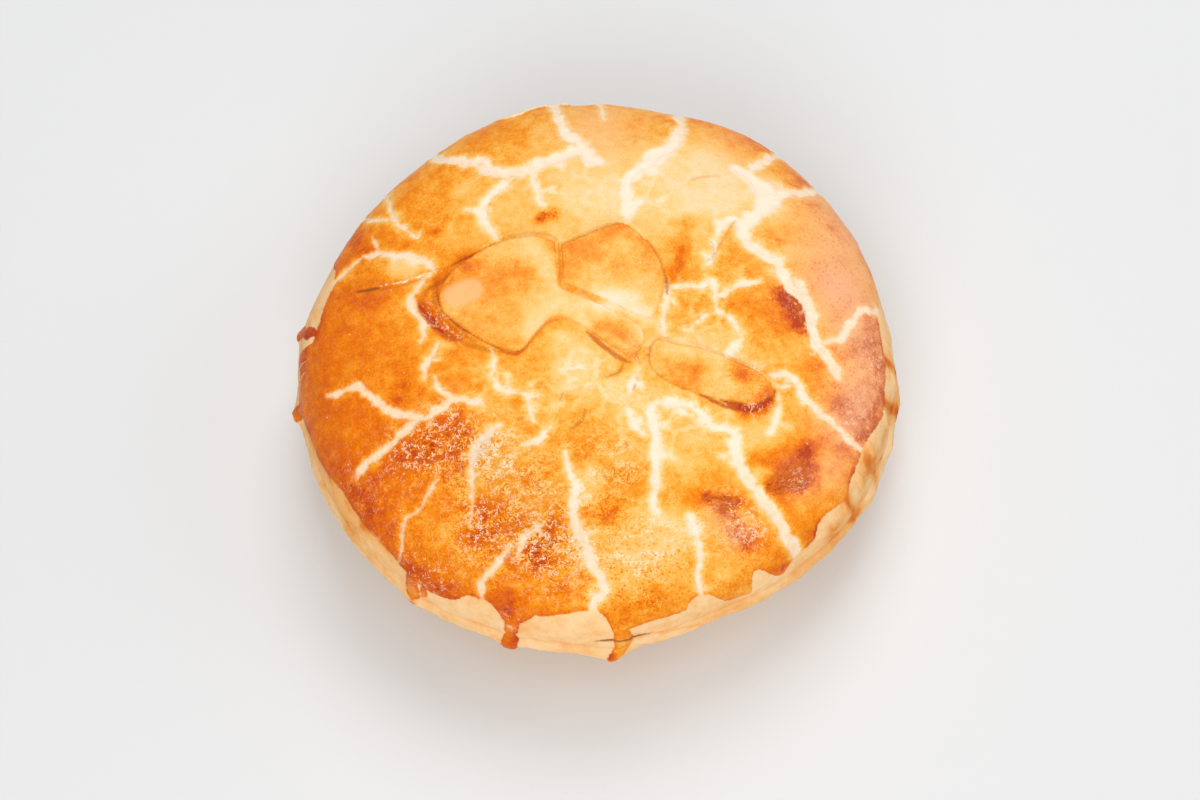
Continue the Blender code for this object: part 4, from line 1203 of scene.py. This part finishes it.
def crust_pastry(name, colours):
    """Crust and case: baked orange glaze with pale crumbly splits and toasted spots, and plain pastry below it."""
    nodes = Nodes(name)
    fine, lumps, clouds, sparkle = grains = grains_of(nodes)
    level = glaze_level(nodes, grains)

    # The glaze is thin beside the splits and along a net of soft cracks
    ragged = nodes.sway(nodes.sway(nodes.painted("away_from_split"), fine, 1.3), lumps, 1.7)
    thin_glaze = nodes.blend(nodes.step(nodes.painted("baked"), 0.40, 0.75), 0.27, 0.15)
    halo = nodes.math("MULTIPLY", nodes.step(ragged, 2.4, -0.2), thin_glaze)
    level = nodes.math("SUBTRACT", level, halo)
    cracks = nodes.cells(8.0 * MM, "DISTANCE_TO_EDGE", nodes.warped(4.0 * MM, 2.2 * MM))
    thread = nodes.math("SUBTRACT", nodes.math("MULTIPLY_ADD", fine, 0.10, 0.02), cracks)
    crazed = nodes.math("MULTIPLY", nodes.painted("crazed"), nodes.step(clouds, 0.38, 0.50))
    crazed = nodes.math("MULTIPLY", nodes.step(thread, -0.08, 0.02), crazed)
    level = nodes.math("MULTIPLY_ADD", crazed, -0.22, level)

    # Its ragged lower edge has baked a little darker
    edge = nodes.sway(nodes.sway(nodes.painted("above_edge"), lumps, 1.2), fine, 1.0)
    unglazed = nodes.step(edge, 0.25, -0.25)
    level = nodes.math("MULTIPLY_ADD", nodes.step(edge, 1.6, 0.1), 0.16, level)

    # The glaze with its painted sheen haze, its marks and painted shade lines, and its painted glints, and the
    # crumb of the splits and flakes
    glaze = baked_colour(nodes, level, colours)
    rosy_sheen = nodes.mix(nodes.step(level, 0.42, 1.15), colours.peach, colours.rose_brown)
    glaze = nodes.mix(nodes.math("MULTIPLY", nodes.painted("sheen_haze"), 0.70), glaze, rosy_sheen)
    glaze = glinting(nodes, with_syrup_and_shade(nodes, glaze, fine, colours), colours)
    flaky = nodes.step(nodes.math("ADD", nodes.painted("ridge"), fine), 0.82, 0.98)
    split = nodes.math("MAXIMUM", nodes.step(ragged, 0.62, -0.72), flaky)
    darker = nodes.step(nodes.math("MULTIPLY_ADD", lumps, 0.9, nodes.painted("baked")), 0.75, 1.35)
    crumb = nodes.mix(darker, colours.cream, colours.crumb)
    specks = nodes.math("MULTIPLY", nodes.step(sparkle, 0.30, 0.05), nodes.step(nodes.painted("baked"), 0.45, 0.75))
    crumb = nodes.mix(nodes.math("MULTIPLY", specks, 0.75), crumb, colours.tan)

    # Splits, bare pastry and the painted shade of the slits lie over the glaze in turn
    colour = nodes.mix(split, glaze, crumb)
    colour = nodes.mix(unglazed, colour, bare_pastry(nodes, colours, grains))
    slit = nodes.math("MULTIPLY_ADD", fine, 0.3, nodes.painted("slit"))
    colour = nodes.mix(nodes.math("MULTIPLY", nodes.step(slit, 0.30, 1.10), 0.9), colour, colours.shadow)

    # Bare pastry is matt, and the glaze shines unevenly
    dry = nodes.math("MAXIMUM", split, unglazed)
    shine = nodes.math("MULTIPLY_ADD", lumps, 0.22, 0.26)
    roughness = nodes.blend(dry, shine, 0.8)
    relief = nodes.math("MULTIPLY_ADD", lumps, 0.8, nodes.math("MULTIPLY", fine, 0.6))
    restless = nodes.math("MULTIPLY_ADD", nodes.painted("bubbled"), 0.28, 0.1)
    relief = nodes.math("MULTIPLY_ADD", sparkle, restless, relief)
    return nodes.done(colour, roughness, nodes.bump(relief, 0.35 * MM), 0.09)


def baked_colour(nodes, level, colours):
    """Colour of glaze that has baked to a level, from cream through gold and orange to chestnut."""
    ramp = nodes.tree.nodes.new("ShaderNodeValToRGB")
    stops = (
        (0.00, colours.cream), (0.25, colours.pale_gold), (0.45, colours.gold), (0.62, colours.orange),
        (0.80, colours.deep_orange), (1.00, colours.amber), (1.25, colours.chestnut),
    )
    scale = stops[-1][0]
    for place, _ in stops[1:-1]:
        ramp.color_ramp.elements.new(place / scale)
    for element, (place, colour) in zip(ramp.color_ramp.elements, stops):
        element.position = place / scale
        element.color = (*colour, 1.0)
    nodes.plug(ramp.inputs["Fac"], nodes.math("DIVIDE", level, scale))
    return ramp.outputs["Color"]


def bare_pastry(nodes, colours, grains):
    """Colour of the pastry that the glaze hasn't reached: pale to tan, with caramel and brown stains."""
    fine, lumps, clouds, _ = grains
    level = nodes.sway(nodes.sway(nodes.sway(nodes.painted("wall"), clouds, 0.8), lumps, 0.5), fine, 0.3)
    # Lines of pooled glaze and painted shade darken the bare pastry
    level = nodes.math("MULTIPLY_ADD", nodes.painted("pooled_and_shade"), 0.7, level)
    colour = nodes.mix(nodes.step(level, 0.0, 0.5), colours.plain_pastry, colours.wall_tan)
    colour = nodes.mix(nodes.step(level, 0.5, 0.85), colour, colours.caramel)
    return nodes.mix(nodes.step(level, 0.8, 1.15), colour, colours.amber)


def golden_cutout(colours):
    """Egg-washed cut-outs: glossy gold, paler matt patches, painted glints, and caramel and painted shade at the
    edges.
    """
    nodes = Nodes("golden_cutout")
    fine, lumps, _, sparkle = grains = grains_of(nodes)
    level = nodes.math("SUBTRACT", glaze_level(nodes, grains), 0.02)
    glaze = with_syrup_and_shade(nodes, baked_colour(nodes, level, colours), fine, colours)
    glaze = glinting(nodes, glaze, colours)
    bare = nodes.step(nodes.sway(nodes.painted("bare"), lumps, 0.4), 0.26, 0.70)
    glaze = nodes.mix(nodes.math("MULTIPLY", bare, 0.85), glaze, colours.tan)
    roughness = nodes.blend(bare, nodes.math("MULTIPLY_ADD", lumps, 0.2, 0.26), 0.5)
    relief = nodes.math("MULTIPLY_ADD", lumps, 0.8, nodes.math("MULTIPLY", fine, 0.5))
    relief = nodes.math("MULTIPLY_ADD", sparkle, 0.15, relief)
    return nodes.done(glaze, roughness, nodes.bump(relief, 0.3 * MM), 0.25)


def pale_floor():
    """A plain pale studio floor."""
    nodes = Nodes("pale_floor")
    cloud = nodes.grain(0.5, detail=2.0)
    colour = nodes.mix(cloud, *FLOOR_GREYS)
    normal = nodes.bump(nodes.grain(2.0 * MM), 0.01 * MM)
    return nodes.done(colour, 0.7, normal, 0.3)


class PieSizes(bpy.types.PropertyGroup):
    """Sizes of the baked details."""

    split_depth: FloatProperty(
        name="Split depth", description="How deep the splits lie below the glazed skin",
        default=0.35 * MM, min=0.0, unit="LENGTH",
    )
    split_lip: FloatProperty(
        name="Split lip", description="How far the glazed skin curls up beside a split",
        default=0.06 * MM, min=0.0, unit="LENGTH",
    )
    crust_lumps: FloatProperty(
        name="Crust lumps", description="Height of the soft lumps of the baked crust",
        default=0.45 * MM, min=0.0, unit="LENGTH",
    )
    case_layers: FloatProperty(
        name="Case layers", description="How far the layers of the case's pastry stand out",
        default=0.4 * MM, min=0.0, unit="LENGTH",
    )
    run_thickness: FloatProperty(
        name="Run thickness", description="How far a run of glaze stands out from the side",
        default=0.7 * MM, min=0.0, unit="LENGTH",
    )
    cutout_height: FloatProperty(
        name="Cut-out height", description="How far the cut-outs stand above the crust",
        default=1.4 * MM, min=0.0, max=CUTOUT_THICKNESS + GAP, unit="LENGTH",
    )
    cutout_bank: FloatProperty(
        name="Cut-out bank", description="How far the crust has swollen up beside the cut-outs",
        default=0.8 * MM, min=0.0, unit="LENGTH",
    )


class PieColours(bpy.types.PropertyGroup):
    """Baked colours, and the colours of painted glints, sheen and shade, as linear red, green and blue."""

    deep_orange: FloatVectorProperty(
        name="Deep orange", description="Glaze at its thickest", subtype="COLOR", size=3, min=0.0, max=1.0,
        default=(0.80, 0.17, 0.002),
    )
    orange: FloatVectorProperty(
        name="Orange", description="Well-baked glaze", subtype="COLOR", size=3, min=0.0, max=1.0,
        default=(0.91, 0.29, 0.012),
    )
    gold: FloatVectorProperty(
        name="Gold", description="Thin glaze", subtype="COLOR", size=3, min=0.0, max=1.0,
        default=(0.94, 0.45, 0.07),
    )
    pale_gold: FloatVectorProperty(
        name="Pale gold", description="Glaze that has stretched thin", subtype="COLOR", size=3, min=0.0, max=1.0,
        default=(0.94, 0.60, 0.22),
    )
    # Painted sheen: the rosy haze of the light over the glaze at the right
    peach: FloatVectorProperty(
        name="Peach", description="Dull glaze at the right", subtype="COLOR", size=3, min=0.0, max=1.0,
        default=(0.93, 0.44, 0.23),
    )
    # Painted sheen over glaze that has browned
    rose_brown: FloatVectorProperty(
        name="Rose brown", description="Dull glaze that has browned", subtype="COLOR", size=3, min=0.0, max=1.0,
        default=(0.60, 0.17, 0.08),
    )
    # Painted highlight: the glints on small bubbles of the glaze
    glint: FloatVectorProperty(
        name="Glint", description="Small bubbles of the glaze", subtype="COLOR", size=3, min=0.0, max=1.0,
        default=(0.97, 0.68, 0.42),
    )
    crumb: FloatVectorProperty(
        name="Crumb", description="Darker pastry inside the splits", subtype="COLOR", size=3, min=0.0, max=1.0,
        default=(0.95, 0.66, 0.40),
    )
    tan: FloatVectorProperty(
        name="Tan", description="Patches without glaze on the cut-outs", subtype="COLOR", size=3, min=0.0, max=1.0,
        default=(0.94, 0.50, 0.20),
    )
    amber: FloatVectorProperty(
        name="Amber", description="Glaze that starts to brown", subtype="COLOR", size=3, min=0.0, max=1.0,
        default=(0.66, 0.10, 0.008),
    )
    chestnut: FloatVectorProperty(
        name="Chestnut", description="Toasted spots", subtype="COLOR", size=3, min=0.0, max=1.0,
        default=(0.45, 0.036, 0.005),
    )
    # Pooled glaze, and painted shade along raised edges
    syrup_and_shade: FloatVectorProperty(
        name="Syrup", description="Thin lines of pooled glaze", subtype="COLOR", size=3, min=0.0, max=1.0,
        default=(0.62, 0.15, 0.005),
    )
    # Painted shade inside the slits, gaps and creases
    shadow: FloatVectorProperty(
        name="Shadow", description="Inside of the open slits", subtype="COLOR", size=3, min=0.0, max=1.0,
        default=(0.32, 0.09, 0.015),
    )
    cream: FloatVectorProperty(
        name="Cream", description="Pastry inside the splits", subtype="COLOR", size=3, min=0.0, max=1.0,
        default=(0.95, 0.79, 0.61),
    )
    plain_pastry: FloatVectorProperty(
        name="Plain pastry", description="Palest pastry of the case", subtype="COLOR", size=3, min=0.0, max=1.0,
        default=(0.96, 0.64, 0.33),
    )
    wall_tan: FloatVectorProperty(
        name="Wall tan", description="Tan pastry of the case", subtype="COLOR", size=3, min=0.0, max=1.0,
        default=(0.92, 0.46, 0.15),
    )
    caramel: FloatVectorProperty(
        name="Caramel", description="Stains of the case", subtype="COLOR", size=3, min=0.0, max=1.0,
        default=(0.80, 0.25, 0.04),
    )


class PIE_OT_crust(bpy.types.Operator):
    """Make the domed, glazed lid with its splits, toasted spots and runs of glaze"""

    bl_idname = "pie.make_crust"
    bl_label = "Make the crust"

    def execute(self, context):
        sizes, colours = context.scene.pie_sizes, context.scene.pie_colours
        points, faces, outside = smooth_crust()
        values, relief = painted_values(points, tree_of(points[:outside]))
        relief += rough(points, 16 * MM, seed=3.0) * sizes.crust_lumps
        nearby = outline_distance(points[:outside], BANK_REACH)
        relief[:outside] += sizes.cutout_bank * np.exp(-((nearby / BANK_WIDTH) ** 2))
        relief[:outside] -= CREASE_DEPTH * np.exp(-((nearby / CREASE_WIDTH) ** 2))
        relief[outside:] = 0.0
        moved = points + point_normals(points, faces) * relief[:, None]
        material = crust_pastry("glazed_crust", colours)
        mesh_piece("glazed_crust", "pie_lid", moved, faces, material, values)
        return {"FINISHED"}


class PIE_OT_case(bpy.types.Operator):
    """Make the plain case with its pinched rim, below the crust"""

    bl_idname = "pie.make_case"
    bl_label = "Make the case"

    def execute(self, context):
        sizes, colours = context.scene.pie_sizes, context.scene.pie_colours
        points, faces = smooth_case()
        values, relief = painted_values(points, tree_of(points))
        layers = rough(points, 9 * MM, seed=13.0, stretch=(1.0, 1.0, 5.0))
        crumbs = rough(points, 1.8 * MM, seed=17.0)
        lumps = rough(points, 12 * MM, 2, seed=19.0)
        radius = np.hypot(points[:, 0] - AXIS[0], points[:, 1] - AXIS[1])
        visible = np.clip(points[:, 2] / (2 * MM), 0.0, 1.0) * (radius > BASE_RADIUS)
        below_seam = np.clip((SEAM_HEIGHT + 0.1 * MM - points[:, 2]) / (3 * MM), 0.2, 1.0)
        relief += layers * sizes.case_layers + crumbs * CRUMB_HEIGHT + lumps * CASE_LUMP_HEIGHT
        moved = points + point_normals(points, faces) * (relief * visible * below_seam)[:, None]
        moved[:, 2] = np.maximum(moved[:, 2], 0.0)
        material = crust_pastry("case_pastry", colours)
        mesh_piece("plain_case", "pastry_case", moved, faces, material, values)
        return {"FINISHED"}


class PIE_OT_cutouts(bpy.types.Operator):
    """Lay the leaf, the side leaf and the stalk end on the crust"""

    bl_idname = "pie.lay_cutouts"
    bl_label = "Lay the cut-outs"

    def execute(self, context):
        sizes, colours = context.scene.pie_sizes, context.scene.pie_colours
        material = golden_cutout(colours)
        for order, name in enumerate(CUTOUT_OUTLINES_MM):
            flat, triangles, inward = filled_outline(outline_of(name))
            ground = np.array([height_at(x, y) for x, y in flat])
            rolled = np.clip(inward / CUTOUT_ROUNDING, 0.0, 1.0)
            crown = np.sqrt(1.0 - (1.0 - rolled) ** 2)
            top = np.column_stack((flat, ground))
            lumps = rough(top, 9 * MM, seed=29.0 + order) * CUTOUT_LUMP_HEIGHT
            crumbs = rough(top, 2.4 * MM, seed=31.0) * CUTOUT_CRUMB_HEIGHT
            top[:, 2] += crown * (sizes.cutout_height + lumps) + crumbs * rolled
            on_edge = inward < 1e-6
            top[on_edge, 2] = ground[on_edge] - CUTOUT_TUCK
            underside = np.column_stack((flat, ground - CUTOUT_SUNK))
            count = len(top)
            points = np.vstack((top, underside))
            faces = triangles + [(c + count, b + count, a + count) for a, b, c in triangles]
            faces += side_faces(triangles, count)
            values, _ = painted_values(points, tree_of(points))
            values["bare"] = summed_areas(points, BARE_PATCHES)
            # Baked level of the cut-outs, with the painted highlight of their glossy patches
            values["baked"] = zone_levels(points, CUTOUT_BAKE_AND_SHEEN_ZONES, CUTOUT_BAKE_START, 1.5 * MM)
            mesh_piece("baked_" + name, name, points, faces, material, values)
        return {"FINISHED"}


class PIE_OT_stage(bpy.types.Operator):
    """Set the pale floor, the soft studio light and the camera"""

    bl_idname = "pie.set_stage"
    bl_label = "Set the stage"

    def execute(self, context):
        scene = context.scene
        bpy.ops.mesh.primitive_plane_add(size=FLOOR_SIZE, location=(0.0, 0.0, 0.0))
        floor = context.object
        floor.name = "floor"
        floor.data.materials.append(pale_floor())

        world = bpy.data.worlds.new("studio")
        world.use_nodes = True
        background = world.node_tree.nodes["Background"]
        background.inputs["Color"].default_value = ROOM_COLOUR
        background.inputs["Strength"].default_value = ROOM_STRENGTH
        scene.world = world
        for panel in PANELS:
            hang_panel(*panel)

        camera_data = bpy.data.cameras.new("camera")
        camera_data.sensor_fit = "HORIZONTAL"
        camera_data.sensor_width = SENSOR_WIDTH
        camera_data.lens = LENS_PIXELS * SENSOR_WIDTH / PICTURE_WIDTH
        camera_data.clip_start = 0.01
        camera = bpy.data.objects.new("camera", camera_data)
        right, up, back = camera_axes()
        turn = Matrix((right, up, back)).transposed().to_4x4()
        camera.matrix_world = Matrix.Translation(VIEW_TARGET + back * VIEW_DISTANCE) @ turn
        scene.collection.objects.link(camera)
        scene.camera = camera
        scene.view_settings.view_transform = "Standard"
        return {"FINISHED"}


class PIE_PT_looks(bpy.types.Panel):
    """Lists the pie's sizes, colours and steps"""

    bl_idname = "PIE_PT_looks"
    bl_label = "Beef pie"
    bl_space_type = "VIEW_3D"
    bl_region_type = "UI"
    bl_category = "Pie"

    def draw(self, context):
        column = self.layout.column()
        for group in (context.scene.pie_sizes, context.scene.pie_colours):
            for label in group.__annotations__:
                column.prop(group, label)
        for step in STEPS:
            column.operator(step.bl_idname)


STEPS = (PIE_OT_crust, PIE_OT_case, PIE_OT_cutouts, PIE_OT_stage)
CLASSES = (PieSizes, PieColours, *STEPS, PIE_PT_looks)


def register():
    """Add the pie's settings, steps and panel to Blender."""
    for entry in CLASSES:
        bpy.utils.register_class(entry)
    bpy.types.Scene.pie_sizes = PointerProperty(type=PieSizes)
    bpy.types.Scene.pie_colours = PointerProperty(type=PieColours)


def unregister():
    """Take the pie's settings, steps and panel out of Blender again."""
    del bpy.types.Scene.pie_sizes
    del bpy.types.Scene.pie_colours
    for entry in reversed(CLASSES):
        bpy.utils.unregister_class(entry)


def main():
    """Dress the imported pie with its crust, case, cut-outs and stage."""
    register()
    bpy.ops.pie.make_crust()
    bpy.ops.pie.make_case()
    bpy.ops.pie.lay_cutouts()
    bpy.ops.pie.set_stage()


if __name__ == "__main__":
    main()
